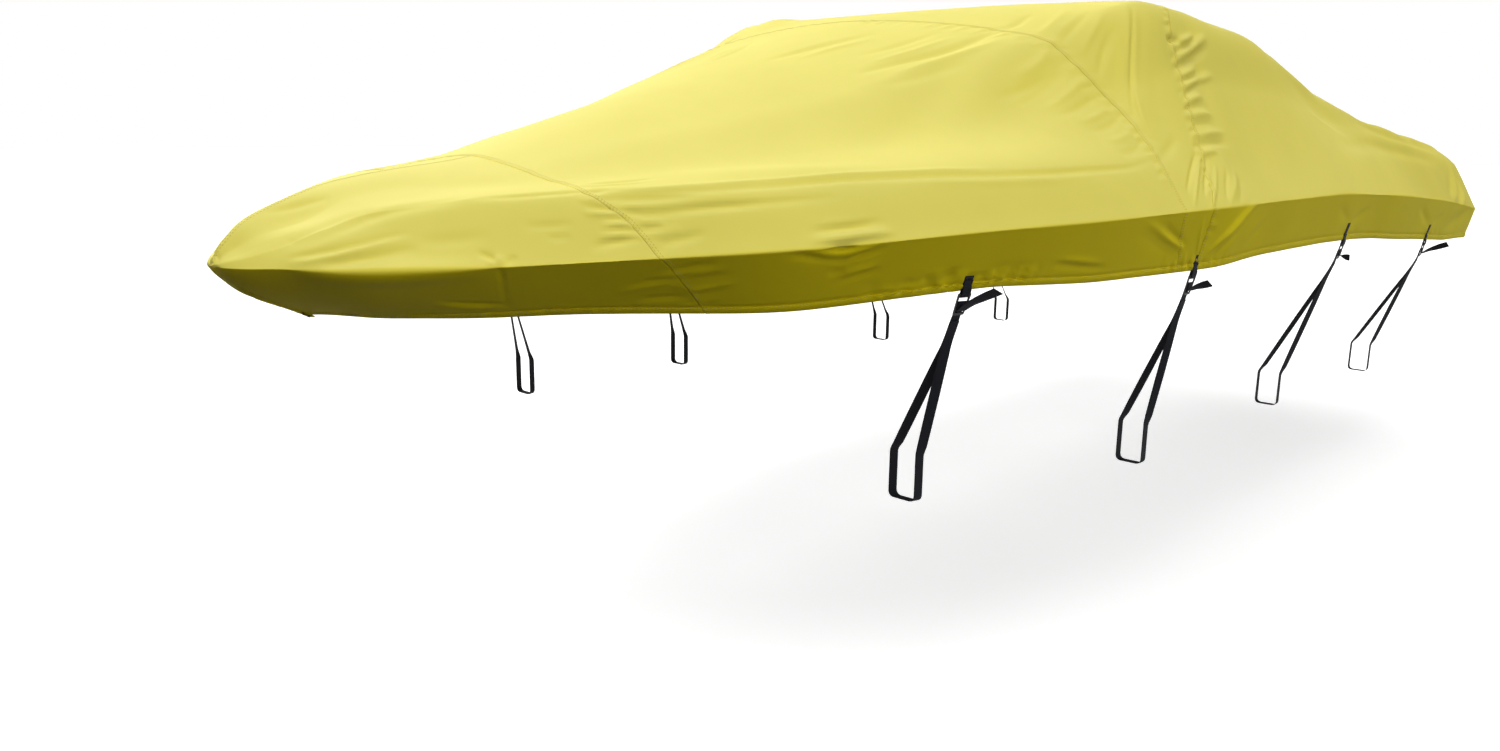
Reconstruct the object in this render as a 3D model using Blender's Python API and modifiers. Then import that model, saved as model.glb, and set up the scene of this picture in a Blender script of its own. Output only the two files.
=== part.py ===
"""Fitted boat cover in the shape it takes in use: cloth panels, tie-down straps and buckles.

The shape is worked out in the cover's own measures: aft of the bow tip, out from the centreline and up
from the bow tip's edge. Bow towards -X, port towards -Y, up +Z, and the origin is the mount: the point
under the top where the cloth is held up highest.
"""
import math
from collections import namedtuple

import bmesh
import bpy
import numpy as np

# Driving dimensions, in metres.
LENGTH = 5.47            # bow tip to stern
SHEET = 0.002            # coated polyester, taken at the thinnest solid sheet
SEAM_GAP = 0.0006        # between two panels along a seam
TOUCH_GAP = 0.0004       # between pieces that lie on each other
STERN_CORNER = 0.20      # plan radius of the two corners of the stern
STERN_ROLL = 0.10        # length over which the top turns down to the stern
ROLL_ENTRY = 3.5         # how late that turn starts
ROLL_EXIT = 0.74         # how square it meets the stern's edge
MOUNT_AFT = 2.25         # the mount under the top, aft of the bow tip
WEBBING_WIDTH = 0.025
WEBBING_THICK = 0.002

# The cover at stations along its length. edge is the height of the hard edge between top and skirt and
# beam its half-width; a soft crease lies crease_in and crease_up from it; shoulder_out and shoulder_up are
# the rounded upper corner; sag is how far the cloth between them hangs. The skirt goes down by skirt_drop
# and in by skirt_tuck to the hem, and skirt_belly is how much of the tuck it leaves to its lower half.
Station = namedtuple("Station", "aft beam edge crease_in crease_up ridge shoulder_out shoulder_up sag"
                                " skirt_drop skirt_tuck skirt_belly")
STATIONS = (
    Station(0.00, 0.000, 0.002, 0.000, 0.000, 0.004, 0.000, 0.003, 0.000, 0.121, 0.200, 0.18),
    Station(0.03, 0.090, 0.003, 0.021, 0.018, 0.057, 0.030, 0.034, 0.000, 0.120, 0.193, 0.17),
    Station(0.07, 0.150, 0.005, 0.036, 0.036, 0.091, 0.060, 0.061, 0.000, 0.119, 0.184, 0.15),
    Station(0.15, 0.255, 0.003, 0.087, 0.082, 0.127, 0.090, 0.087, 0.000, 0.118, 0.167, 0.12),
    Station(0.25, 0.352, 0.006, 0.138, 0.109, 0.160, 0.112, 0.134, 0.002, 0.117, 0.142, 0.08),
    Station(0.56, 0.604, 0.024, 0.138, 0.134, 0.206, 0.190, 0.188, 0.006, 0.122, 0.100, 0.00),
    Station(0.89, 0.835, 0.045, 0.112, 0.124, 0.297, 0.290, 0.260, 0.012, 0.136, 0.070, 0.00),
    Station(1.29, 0.983, 0.067, 0.105, 0.126, 0.412, 0.410, 0.347, 0.018, 0.134, 0.055, 0.00),
    Station(1.69, 1.077, 0.078, 0.100, 0.124, 0.529, 0.530, 0.457, 0.020, 0.154, 0.050, 0.00),
    Station(2.00, 1.108, 0.084, 0.095, 0.118, 0.616, 0.645, 0.548, 0.014, 0.163, 0.045, 0.00),
    Station(2.32, 1.128, 0.088, 0.090, 0.116, 0.660, 0.768, 0.647, 0.002, 0.165, 0.040, 0.00),
    Station(2.70, 1.126, 0.090, 0.090, 0.118, 0.672, 0.775, 0.630, 0.000, 0.160, 0.040, 0.00),
    Station(3.13, 1.120, 0.090, 0.095, 0.125, 0.640, 0.775, 0.592, 0.002, 0.160, 0.040, 0.00),
    Station(3.70, 1.118, 0.070, 0.105, 0.143, 0.490, 0.783, 0.453, 0.006, 0.160, 0.040, 0.00),
    Station(4.10, 1.121, 0.048, 0.120, 0.147, 0.441, 0.789, 0.386, 0.002, 0.164, 0.040, 0.00),
    Station(4.70, 1.112, 0.006, 0.115, 0.160, 0.363, 0.806, 0.310, -0.004, 0.163, 0.035, 0.00),
    Station(5.15, 1.090, -0.035, 0.120, 0.200, 0.303, 0.795, 0.273, -0.008, 0.140, 0.030, 0.00),
    Station(5.47, 1.060, -0.067, 0.095, 0.205, 0.263, 0.840, 0.220, -0.010, 0.125, 0.030, 0.00),
)

# Across a section: 0 is the centreline, 1 the hard edge and 2 the hem.
ACROSS_KNOTS = (0.0, 0.40, 0.62, 0.84, 1.0)   # centre, shoulder, flank, crease, edge
TOP_COLUMNS = (0.0, 0.10, 0.20, 0.28, 0.34, 0.40, 0.44, 0.48, 0.52, 0.56, 0.60,
               0.65, 0.70, 0.75, 0.80, 0.84, 0.88, 0.92, 0.96, 1.0)
SKIRT_COLUMNS = (1.33, 1.67, 2.0)

# Seams between panels: how far aft they lie at each place across.
Seam = namedtuple("Seam", "across aft")
BOW_SEAM = (Seam(0.0, 0.600), Seam(1.0, 0.612), Seam(2.0, 0.690))
SCREEN_SEAM = (Seam(0.0, 1.930), Seam(0.35, 1.955), Seam(0.50, 2.000), Seam(0.67, 2.050),
               Seam(0.78, 2.037), Seam(0.89, 2.006), Seam(1.0, 1.990), Seam(2.0, 2.050))
GATHERED_SEAM = (Seam(0.0, 2.500), Seam(0.42, 2.450), Seam(0.50, 2.385), Seam(0.60, 2.355),
                 Seam(0.72, 2.300), Seam(0.85, 2.232), Seam(0.94, 2.182), Seam(1.0, 2.133), Seam(2.0, 2.133))

# Rows of faces that run across a panel: places from 0, its front seam, to 1, its rear one.
BOW_ROWS = (0.0, 0.05, 0.10, 0.16, 0.23, 0.30, 0.37, 0.44, 0.51, 0.58, 0.65, 0.72, 0.79, 0.86, 0.93, 1.0)
FORE_ROWS = 16
SCREEN_ROWS = 7
AFT_ROWS = (0.0, 0.06, 0.13, 0.20, 0.28, 0.37, 0.47, 0.57, 0.67, 0.77, 0.87, 0.97, 1.08, 1.20, 1.34,
            1.49, 1.64, 1.80, 1.96, 2.12, 2.28, 2.44, 2.60, 2.74, 2.86)   # metres of AFT_SPAN from its seam
AFT_SPAN = 3.17
CORNER_ANGLES = (0, 18, 34, 50, 64, 77, 90)   # of the rows round the stern's corners, in degrees

# Broad soft folds: from one place on the cloth to another, half-width and rise (negative for a trough).
Fold = namedtuple("Fold", "aft_a across_a aft_b across_b half_width rise")
FOLDS = (
    Fold(2.25, 0.42, 2.07, 0.76, 0.045, 0.014),
    Fold(2.13, 0.50, 1.72, 0.72, 0.060, 0.009),
    Fold(1.98, 0.40, 1.45, 0.62, 0.070, 0.008),
    Fold(1.80, 0.42, 1.20, 0.66, 0.070, -0.006),
    Fold(2.56, 0.40, 2.44, 0.80, 0.055, -0.008),
    Fold(2.36, 0.78, 2.30, 1.00, 0.050, 0.008),
    Fold(0.70, 0.70, 1.20, 0.80, 0.050, 0.007),
    Fold(0.22, 0.30, 0.55, 0.62, 0.050, -0.005),
    Fold(3.13, 0.30, 3.95, 0.72, 0.110, -0.012),
    Fold(3.60, 0.10, 4.60, 0.40, 0.140, -0.014),
    Fold(2.85, 0.00, 3.00, 0.36, 0.160, -0.012),
    Fold(4.75, 0.30, 5.20, 0.75, 0.080, -0.008),
    Fold(2.38, 1.05, 2.22, 1.60, 0.035, 0.007),
    Fold(1.82, 1.05, 2.01, 1.60, 0.045, -0.006),
)

# Tie-down straps on one side, bow to stern. tab_top is how far down the skirt the tab starts, 0 edge and
# 1 hem. The loop goes under a bar: its outer face and the heights of its top and underside. The free tail
# leaves the buckle outwards and upwards, turned a little about its own run.
Strap = namedtuple("Strap", "aft tab_top tab_length bar_out bar_top bar_under tail_out tail_up tail_turn")
STRAPS = (
    Strap(1.258, 0.74, 0.042, 0.815, -0.490, -0.592, 0.095, 0.055, 32),
    Strap(2.133, 0.74, 0.056, 0.985, -0.540, -0.640, 0.055, 0.026, 20),
    Strap(3.380, 0.62, 0.072, 0.925, -0.590, -0.690, 0.034, -0.004, 15),
    Strap(4.456, 0.62, 0.078, 0.930, -0.620, -0.720, 0.092, 0.046, 25),
)
BAR_WIDTH = 0.075         # of the bar that each loop goes under
TAB_LIFT = 0.0018         # the tab's middle off the skirt's outer face
BUCKLE_HEAD = 0.038       # width of the buckle at its upper end
BUCKLE_FOOT = 0.031       # width at its lower end
BUCKLE_THICK = 0.004
BUCKLE_BAR = 0.007        # height of each of its three bars
BUCKLE_WINDOW = 0.018
BUCKLE_SLOT = 0.027       # clear width of the windows
FORK_DROP = 0.075         # the two strands lie together this far below the buckle

PORT = -1
STARBOARD = 1


def steepness(knots, values):
    """Slopes for a cubic through the values that never overshoots them."""
    steps = np.diff(knots)[:, None]
    rates = np.diff(values, axis=0) / steps
    slopes = np.zeros_like(values)
    slopes[0] = rates[0]
    slopes[-1] = rates[-1]
    before, after = rates[:-1], rates[1:]
    near = 2 * steps[1:] + steps[:-1]
    far = steps[1:] + 2 * steps[:-1]
    same_way = before * after > 0
    safe_before = np.where(same_way, before, 1.0)
    safe_after = np.where(same_way, after, 1.0)
    slopes[1:-1] = np.where(same_way, (near + far) / (near / safe_before + far / safe_after), 0.0)
    return slopes


def smooth(knots, values, at, level_start=False):
    """Cubic through values at knots, read at the given places; values may have a column for each place."""
    knots = np.asarray(knots, float)
    at = np.asarray(at, float)
    values = np.asarray(values, float).reshape(len(knots), -1)
    slopes = steepness(knots, values)
    if level_start:
        slopes[0] = 0.0
    values = np.broadcast_to(values, (len(knots), at.size))
    slopes = np.broadcast_to(slopes, (len(knots), at.size))
    left = np.clip(np.searchsorted(knots, at, side="right") - 1, 0, len(knots) - 2)
    column = np.arange(at.size)
    step = knots[left + 1] - knots[left]
    t = (at - knots[left]) / step
    return ((1 + 2 * t) * (1 - t) ** 2 * values[left, column]
            + t * (1 - t) ** 2 * step * slopes[left, column]
            + t * t * (3 - 2 * t) * values[left + 1, column]
            + t * t * (t - 1) * step * slopes[left + 1, column])


def station(name, aft):
    """A column of STATIONS read at any distance aft; the square root keeps the bow round in plan."""
    knots = [math.sqrt(row.aft) for row in STATIONS]
    values = [getattr(row, name) for row in STATIONS]
    return smooth(knots, values, np.sqrt(np.clip(aft, 0.0, LENGTH)))


def hard_edge(aft):
    """Half-width and height of the hard edge, with the stern's corners rounded."""
    past = np.clip((aft - LENGTH + STERN_CORNER) / STERN_CORNER, 0.0, 1.0)
    beam = station("beam", aft) - STERN_CORNER * (1 - np.sqrt(1 - past ** 2))
    return beam, station("edge", aft)


def deck(aft, across):
    """Points of the top, from the centreline (0) to the hard edge (1), as aft, out, up."""
    beam, edge = hard_edge(aft)
    crease_out = beam - station("crease_in", aft)
    crease_up = edge + station("crease_up", aft)
    shoulder_out = np.minimum(station("shoulder_out", aft), 0.9 * crease_out)
    shoulder_up = station("shoulder_up", aft)
    flank_out = (shoulder_out + crease_out) / 2
    flank_up = (shoulder_up + crease_up) / 2 - station("sag", aft)
    ridge = station("ridge", aft)
    out = smooth(ACROSS_KNOTS, np.stack([0 * beam, shoulder_out, flank_out, crease_out, beam]), across)
    up = smooth(ACROSS_KNOTS, np.stack([ridge, shoulder_up, flank_up, crease_up, edge]), across, True)
    past = np.clip((aft - LENGTH + STERN_ROLL) / STERN_ROLL, 0.0, 1.0)
    turned = (1 - past ** ROLL_ENTRY) ** ROLL_EXIT
    return np.stack([aft, out, edge + (up - edge) * turned], -1)


def edge_line(along):
    """The hard edge: down the side for the first LENGTH, then across the stern to its middle."""
    aft = np.clip(along, 0.0, LENGTH)
    beam, edge = hard_edge(aft)
    return np.stack([aft, beam - np.maximum(along - LENGTH, 0.0), edge], -1)


def skirt(along, down):
    """Points of the skirt below the hard edge, from the edge (0) to the hem (1)."""
    reach = 0.004
    run = edge_line(along + reach) - edge_line(np.maximum(along - reach, 0.0))
    inward = np.stack([run[:, 1], -run[:, 0]], -1)
    inward /= np.linalg.norm(inward, axis=1, keepdims=True)
    inward[along <= 0.0] = (1.0, 0.0)
    aft = np.clip(along, 0.0, LENGTH)
    points = edge_line(along)
    tuck = down - station("skirt_belly", aft) * 4 * down * (1 - down)
    points[:, :2] += inward * (station("skirt_tuck", aft) * tuck)[:, None]
    points[:, 2] -= station("skirt_drop", aft) * down
    return points


def plain_cloth(aft, across):
    """Points of one side of the cover with no folds, for any place across from centreline to hem."""
    points = deck(aft, np.minimum(across, 1.0))
    below = across > 1.0
    if below.any():
        points[below] = skirt(aft[below], across[below] - 1.0)
    return points


def outward(aft, across):
    """Unit normals of the cloth, pointing away from the hollow under it."""
    step_aft, step_across = 0.01, 0.02
    ahead = np.clip(aft - step_aft, 0.0, LENGTH)
    astern = np.clip(aft + step_aft, 0.0, LENGTH)
    lengthwise = plain_cloth(astern, across) - plain_cloth(ahead, across)
    inner = np.clip(across - step_across, 0.0, 2.0)
    outer = np.clip(across + step_across, 0.0, 2.0)
    crosswise = plain_cloth(aft, outer) - plain_cloth(aft, inner)
    normals = np.cross(lengthwise, crosswise)
    size = np.linalg.norm(normals, axis=1, keepdims=True)
    return normals / np.maximum(size, 1e-9)


def fold_rise(points):
    """How far the folds lift each point of one side off the plain cloth."""
    rise = np.zeros(len(points))
    for fold in FOLDS:
        ends = plain_cloth(np.array([fold.aft_a, fold.aft_b]), np.array([fold.across_a, fold.across_b]))
        line = ends[1] - ends[0]
        t = np.clip((points - ends[0]) @ line / (line @ line), 0.0, 1.0)
        away = np.linalg.norm(points - ends[0] - t[:, None] * line, axis=1)
        ease = np.sqrt(np.clip(4 * t * (1 - t), 0.0, 1.0))
        rise += fold.rise * ease * np.exp(-(away / fold.half_width) ** 2)
    return rise


def cloth(aft, across):
    """Points of one side of the cover, folds and all."""
    aft = np.asarray(aft, float)
    across = np.asarray(across, float)
    points = plain_cloth(aft, across)
    return points + outward(aft, across) * fold_rise(points)[:, None]


MOUNT_UP = float(station("ridge", np.array([MOUNT_AFT]))[0]) - SHEET


def to_part(points, side):
    """From the cover's own measures to the part's frame: port is -Y."""
    return np.stack([points[:, 0] - MOUNT_AFT, side * points[:, 1], points[:, 2] - MOUNT_UP], -1)


def seam_line(seam, across):
    """How far aft a seam lies at each place across."""
    return smooth([row.across for row in seam], [row.aft for row in seam], np.asarray(across, float))


def finish(name, verts, faces, material, collection):
    """Mesh object from points and faces, with doubled points merged and faces turned outwards."""
    mesh = bpy.data.meshes.new(name)
    mesh.from_pydata([tuple(v) for v in verts], [], faces)
    bm = bmesh.new()
    bm.from_mesh(mesh)
    bmesh.ops.remove_doubles(bm, verts=bm.verts, dist=0.00005)
    bmesh.ops.dissolve_degenerate(bm, edges=bm.edges, dist=0.00002)
    bmesh.ops.recalc_face_normals(bm, faces=bm.faces)
    bm.to_mesh(mesh)
    bm.free()
    mesh.materials.append(material)
    mesh.shade_smooth()
    obj = bpy.data.objects.new(name, mesh)
    collection.objects.link(obj)
    return obj


def grid_faces(rows, columns, first=0):
    """Quads between neighbouring rows and columns of points listed row by row."""
    faces = []
    for row in range(rows - 1):
        for column in range(columns - 1):
            corner = first + row * columns + column
            faces.append((corner, corner + 1, corner + columns + 1, corner + columns))
    return faces


def both_sides(columns):
    """Places across the whole cover: port hem (-2) to starboard hem (2)."""
    return [-place for place in reversed(columns[1:])] + list(columns)


def signed_cloth(aft, place):
    """Points of the whole cover in the part's frame, with places across negative to port."""
    port = to_part(cloth(aft, np.abs(place)), PORT)
    starboard = to_part(cloth(aft, np.abs(place)), STARBOARD)
    return np.where((place < 0)[:, None], port, starboard)


def thicken(obj):
    """Gives a panel its thickness, inwards from the outer face."""
    solid = obj.modifiers.new("thickness", "SOLIDIFY")
    solid.thickness = SHEET
    solid.offset = -1.0
    solid.use_rim = True


def panel_grid(places, first, last, fractions):
    """Points and faces between two lines across the cover, each a function of the place across."""
    places = np.array(places)
    start = first(np.abs(places))
    end = last(np.abs(places))
    verts = []
    for fraction in fractions:
        verts.extend(signed_cloth(start + (end - start) * fraction, places))
    faces = grid_faces(len(fractions), len(places))
    return verts, faces


def outward_faces(obj):
    """Turns an open panel so that its faces look away from the hollow under it."""
    bm = bmesh.new()
    bm.from_mesh(obj.data)
    bm.normal_update()
    up = sum(face.normal.z * face.calc_area() for face in bm.faces)
    if up < 0:
        bmesh.ops.reverse_faces(bm, faces=bm.faces)
    bm.to_mesh(obj.data)
    bm.free()


def add_panel(name, verts, faces, material, collection):
    """A panel of cloth as an object."""
    obj = finish(name, verts, faces, material, collection)
    outward_faces(obj)
    thicken(obj)
    return obj


def keep_to_side(obj, side):
    """Gives a panel its thickness for good and draws whatever crosses the centreline back to its own side."""
    bpy.context.view_layer.update()
    mesh = bpy.data.meshes.new_from_object(obj.evaluated_get(bpy.context.evaluated_depsgraph_get()))
    for vertex in mesh.vertices:
        vertex.co.y = side * max(side * vertex.co.y, SEAM_GAP / 2)
    obj.modifiers.clear()
    obj.data = mesh


def bow_half(side, material, collection):
    """One half of the bow, joined to the other down the centreline and the stem."""
    name = "bow_panel_port" if side == PORT else "bow_panel_starboard"
    places = [side * max(place, 1e-6) for place in TOP_COLUMNS + SKIRT_COLUMNS]
    verts, faces = panel_grid(places, lambda across: 0.0 * across,
                              lambda across: seam_line(BOW_SEAM, across) - SEAM_GAP / 2,
                              [row ** 2 for row in BOW_ROWS])
    obj = add_panel(name, verts, faces, material, collection)
    keep_to_side(obj, side)
    return obj


def middle_panel(name, front_seam, rear_seam, rows, material, collection):
    """A panel that runs from hem to hem between two seams."""
    verts, faces = panel_grid(both_sides(TOP_COLUMNS + SKIRT_COLUMNS),
                              lambda across: seam_line(front_seam, across) + SEAM_GAP / 2,
                              lambda across: seam_line(rear_seam, across) - SEAM_GAP / 2,
                              np.linspace(0.0, 1.0, rows))
    return add_panel(name, verts, faces, material, collection)


def aft_panel(material, collection):
    """From the gathered seam to the stern, with the skirt carried round it."""
    places = both_sides(TOP_COLUMNS + SKIRT_COLUMNS)
    corner = [STERN_CORNER * (1 - math.sin(math.radians(angle))) for angle in CORNER_ANGLES]
    fractions = [row / AFT_SPAN for row in AFT_ROWS] + [1 - rest / AFT_SPAN for rest in corner]
    verts, faces = panel_grid(places, lambda across: seam_line(GATHERED_SEAM, across) + SEAM_GAP / 2,
                              lambda across: LENGTH + 0.0 * across, fractions)
    last_row = len(verts) - len(places)
    top_places = [index for index, place in enumerate(places) if abs(place) <= 1.0]
    half_width = float(hard_edge(np.array([LENGTH]))[0][0])
    rows = [[last_row + index for index in top_places]]
    for down in (place - 1.0 for place in SKIRT_COLUMNS):
        row = []
        for index in top_places:
            side = PORT if places[index] < 0 else STARBOARD
            out = abs(verts[last_row + index][1])
            point = skirt(np.array([LENGTH + half_width - out]), np.array([down]))
            row.append(len(verts))
            verts.append(to_part(point, side)[0])
        rows.append(row)
    for upper, lower in zip(rows, rows[1:]):
        for index in range(len(upper) - 1):
            faces.append((upper[index], upper[index + 1], lower[index + 1], lower[index]))
    return add_panel("aft_panel", verts, faces, material, collection)


def ribbon(name, path, wide, side, material, collection):
    """Flat webbing along a path of points, its width lying along the direction wide at each of them."""
    path = np.array(path)
    wide = np.broadcast_to(wide, path.shape)
    steps = np.diff(path, axis=0)
    steps /= np.linalg.norm(steps, axis=1, keepdims=True)
    verts = []
    for index, point in enumerate(path):
        before = steps[max(index - 1, 0)]
        after = steps[min(index, len(steps) - 1)]
        run = (before + after) / np.linalg.norm(before + after)
        through = np.cross(wide[index], run)
        through *= WEBBING_THICK / 2 / np.linalg.norm(through) / max(run @ before, 0.5)
        for along, sign in ((-1, -1), (1, -1), (1, 1), (-1, 1)):
            verts.append(point + wide[index] * along * WEBBING_WIDTH / 2 + through * sign)
    faces = [(0, 1, 2, 3), tuple(len(verts) - 4 + corner for corner in (3, 2, 1, 0))]
    for index in range(len(path) - 1):
        base = 4 * index
        for corner in range(4):
            following = (corner + 1) % 4
            faces.append((base + corner, base + following, base + 4 + following, base + 4 + corner))
    return finish(name, to_part(np.array(verts), side), faces, material, collection)


class Hanger:
    """Where one strap's tab and buckle hang: flat on the skirt's outer face, then straight on below the hem."""

    def __init__(self, row):
        half = WEBBING_WIDTH / 2
        aft = row.aft + half * np.repeat((-1.0, 0.0, 1.0), 4)
        across = np.tile(np.linspace(1.0 + row.tab_top, 2.0, 4), 3)
        under = cloth(aft, across).reshape(3, 4, 3)
        self.top = under[1, 0]
        self.down = under[1, 3] - under[1, 0]
        self.down /= np.linalg.norm(self.down)
        self.wide = (under[2] - under[0]).mean(axis=0)
        self.wide -= self.down * (self.down @ self.wide)
        self.wide /= np.linalg.norm(self.wide)
        self.out = np.cross(self.wide, self.down)
        self.out *= np.sign(self.out[1])
        self.top = self.top + self.out * ((under - self.top) @ self.out).max()

    def at(self, down, lift, along=0.0):
        """A point this far down from the tab's top edge, lifted off the skirt's outer face."""
        return self.top + self.down * down + self.out * lift + self.wide * along


def tab(name, hanger, row, side, material, collection):
    """Webbing sewn flat on the skirt; its end turns round the buckle's top bar and back up."""
    lift = TAB_LIFT
    turn = row.tab_length + BUCKLE_BAR / 2
    fold = BUCKLE_THICK / 2 + TOUCH_GAP + WEBBING_THICK / 2
    path = [hanger.at(0.0, lift), hanger.at(turn * 0.5, lift), hanger.at(turn, lift)]
    for angle in (-55, -20, 20, 55):
        reach = math.radians(angle)
        down = turn + BUCKLE_BAR / 2 + fold * math.cos(reach)
        path.append(hanger.at(down, lift + fold + fold * math.sin(reach)))
    path.append(hanger.at(turn, lift + 2 * fold))
    path.append(hanger.at(turn - 0.012, lift + 2 * fold))
    path.append(hanger.at(turn - 0.022, lift + WEBBING_THICK + TOUCH_GAP))
    path.append(hanger.at(turn - 0.036, lift + WEBBING_THICK + TOUCH_GAP))
    return ribbon(name, path, hanger.wide, side, material, collection)


def buckle(name, hanger, row, side, material, collection):
    """Tapered three-bar buckle with two windows."""
    lift = TAB_LIFT + BUCKLE_THICK / 2 + TOUCH_GAP + WEBBING_THICK / 2
    height = 3 * BUCKLE_BAR + 2 * BUCKLE_WINDOW
    curve = bpy.data.curves.new(name, "CURVE")
    curve.dimensions = "2D"
    curve.fill_mode = "BOTH"
    curve.extrude = BUCKLE_THICK / 2
    cut = 0.004
    head, foot = BUCKLE_HEAD / 2, BUCKLE_FOOT / 2
    outline = [(-head, -cut), (-head + cut, 0.0), (head - cut, 0.0), (head, -cut),
               (foot, -height + cut), (foot - cut, -height), (-foot + cut, -height), (-foot, -height + cut)]
    windows = []
    for index in range(2):
        top = -BUCKLE_BAR - index * (BUCKLE_BAR + BUCKLE_WINDOW)
        half = BUCKLE_SLOT / 2
        windows.append([(-half, top), (half, top), (half, top - BUCKLE_WINDOW), (-half, top - BUCKLE_WINDOW)])
    for points in [outline] + windows:
        spline = curve.splines.new("POLY")
        spline.points.add(len(points) - 1)
        for point, (along, up) in zip(spline.points, points):
            point.co = (along, up, 0.0, 1.0)
        spline.use_cyclic_u = True
    flat = bpy.data.objects.new(name, curve)
    collection.objects.link(flat)
    bpy.context.view_layer.update()
    mesh = bpy.data.meshes.new_from_object(flat.evaluated_get(bpy.context.evaluated_depsgraph_get()))
    faces = [tuple(polygon.vertices) for polygon in mesh.polygons]
    placed = [hanger.at(row.tab_length - point.co.y, lift + point.co.z, point.co.x) for point in mesh.vertices]
    bpy.data.objects.remove(flat)
    return finish(name, to_part(np.array(placed), side), faces, material, collection)


def arc(centre, radius, start, end, steps):
    """Points (out, up) round part of a circle, angles in degrees from outwards (0) to upwards (90)."""
    angles = [math.radians(start + (end - start) * step / steps) for step in range(steps + 1)]
    return [(centre[0] + radius * math.cos(angle), centre[1] + radius * math.sin(angle)) for angle in angles]


def turned(wide, run, degrees):
    """The direction wide turned about the direction run."""
    angle = math.radians(degrees)
    run = run / np.linalg.norm(run)
    return (wide * math.cos(angle) + np.cross(run, wide) * math.sin(angle)
            + run * (run @ wide) * (1 - math.cos(angle)))


def strap_route(hanger, row):
    """Points and width directions from the free tail, round the buckle's middle bar and under the bar."""
    fold = BUCKLE_THICK / 2 + TOUCH_GAP + WEBBING_THICK / 2
    middle = TAB_LIFT + fold
    bar = row.tab_length + 1.5 * BUCKLE_BAR + BUCKLE_WINDOW
    foot = row.tab_length + 3 * BUCKLE_BAR + 2 * BUCKLE_WINDOW
    exit_down = foot - BUCKLE_BAR - 0.006
    leaving = hanger.at(exit_down, middle + fold + 0.001)
    route = []
    wides = []
    for share in (1.0, 0.75, 0.5, 0.25):
        run = np.array([0.0, row.tail_out * share, row.tail_up * share ** 0.8])
        route.append(leaving + run)
        wides.append(turned(hanger.wide, run, row.tail_turn * min(1.0, 1.5 * share)))
    route.append(leaving)
    route.append(hanger.at(exit_down - 0.006, middle + fold))
    for angle in (60, 20, -20, -60):
        reach = math.radians(angle)
        route.append(hanger.at(bar - BUCKLE_BAR / 2 - fold * math.cos(reach), middle + fold * math.sin(reach)))
    route.append(hanger.at(bar + 0.002, middle - fold))
    start = hanger.at(foot + 0.004, middle - fold)
    route.append(start)

    def beside_bar(out, up):
        return np.array([start[0], out, up])

    inner = row.bar_out - BAR_WIDTH
    outer = row.bar_out
    towards = beside_bar((inner + outer) / 2, row.bar_top) - start
    towards /= np.linalg.norm(towards)
    aside = np.cross(hanger.wide, towards)
    aside *= np.sign(aside[1]) * (WEBBING_THICK + TOUCH_GAP)
    fork = start + towards * FORK_DROP
    route.append(fork)
    route.append(beside_bar(inner, row.bar_top + 0.010))
    corner = 0.014
    route.extend(beside_bar(*point) for point in
                 arc((inner + corner, row.bar_under + corner), corner, 180, 270, 3))
    route.extend(beside_bar(*point) for point in
                 arc((outer - corner, row.bar_under + corner), corner, 270, 360, 3))
    route.append(beside_bar(outer, row.bar_top + 0.010))
    route.append(fork + aside)
    route.append(start + towards * 0.012 + aside)
    wides.extend([hanger.wide] * (len(route) - len(wides)))
    return route, wides


def material(name, colour, roughness):
    """Plain Principled material."""
    made = bpy.data.materials.new(name)
    made.use_nodes = True
    shader = made.node_tree.nodes["Principled BSDF"]
    shader.inputs["Base Color"].default_value = (*colour, 1.0)
    shader.inputs["Roughness"].default_value = roughness
    shader.inputs["Metallic"].default_value = 0.0
    return made


def build():
    """The whole cover."""
    for old in list(bpy.data.objects):
        bpy.data.objects.remove(old)
    collection = bpy.data.collections.new("boat_cover")
    bpy.context.scene.collection.children.link(collection)
    yellow = (0.74, 0.66, 0.12)
    for side in (PORT, STARBOARD):
        bow_half(side, material("bow_cloth", yellow, 0.8), collection)
    middle_panel("fore_panel", BOW_SEAM, SCREEN_SEAM, FORE_ROWS, material("fore_cloth", yellow, 0.8), collection)
    middle_panel("screen_panel", SCREEN_SEAM, GATHERED_SEAM, SCREEN_ROWS,
                 material("screen_cloth", yellow, 0.8), collection)
    aft_panel(material("aft_cloth", yellow, 0.8), collection)
    webbing = (0.012, 0.013, 0.016)
    for side, side_name in ((PORT, "port"), (STARBOARD, "starboard")):
        for number, row in enumerate(STRAPS, 1):
            hanger = Hanger(row)
            label = f"{side_name}_{number}"
            tab(f"tab_{label}", hanger, row, side, material("tab_webbing", webbing, 0.7), collection)
            buckle(f"buckle_{label}", hanger, row, side, material("buckle_plastic", webbing, 0.4), collection)
            route, wides = strap_route(hanger, row)
            ribbon(f"strap_{label}", route, wides, side, material("strap_webbing", webbing, 0.7), collection)


build()
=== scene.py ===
"""Looks of the fitted boat cover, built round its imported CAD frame.

Each cloth panel is a fine sheet on its solid's own shape, with the sewn seams, gathers and folds that
the photograph shows; the tabs, buckles and straps are modelled again in full detail. Places on the
cloth are given as in the part's source: metres aft of the bow tip, and a place across that is 0 on the
centreline, 1 on the hard edge and 2 on the hem.
"""
import math
from collections import namedtuple

import bmesh
import bpy
import numpy as np
from mathutils import Matrix, Vector

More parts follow.
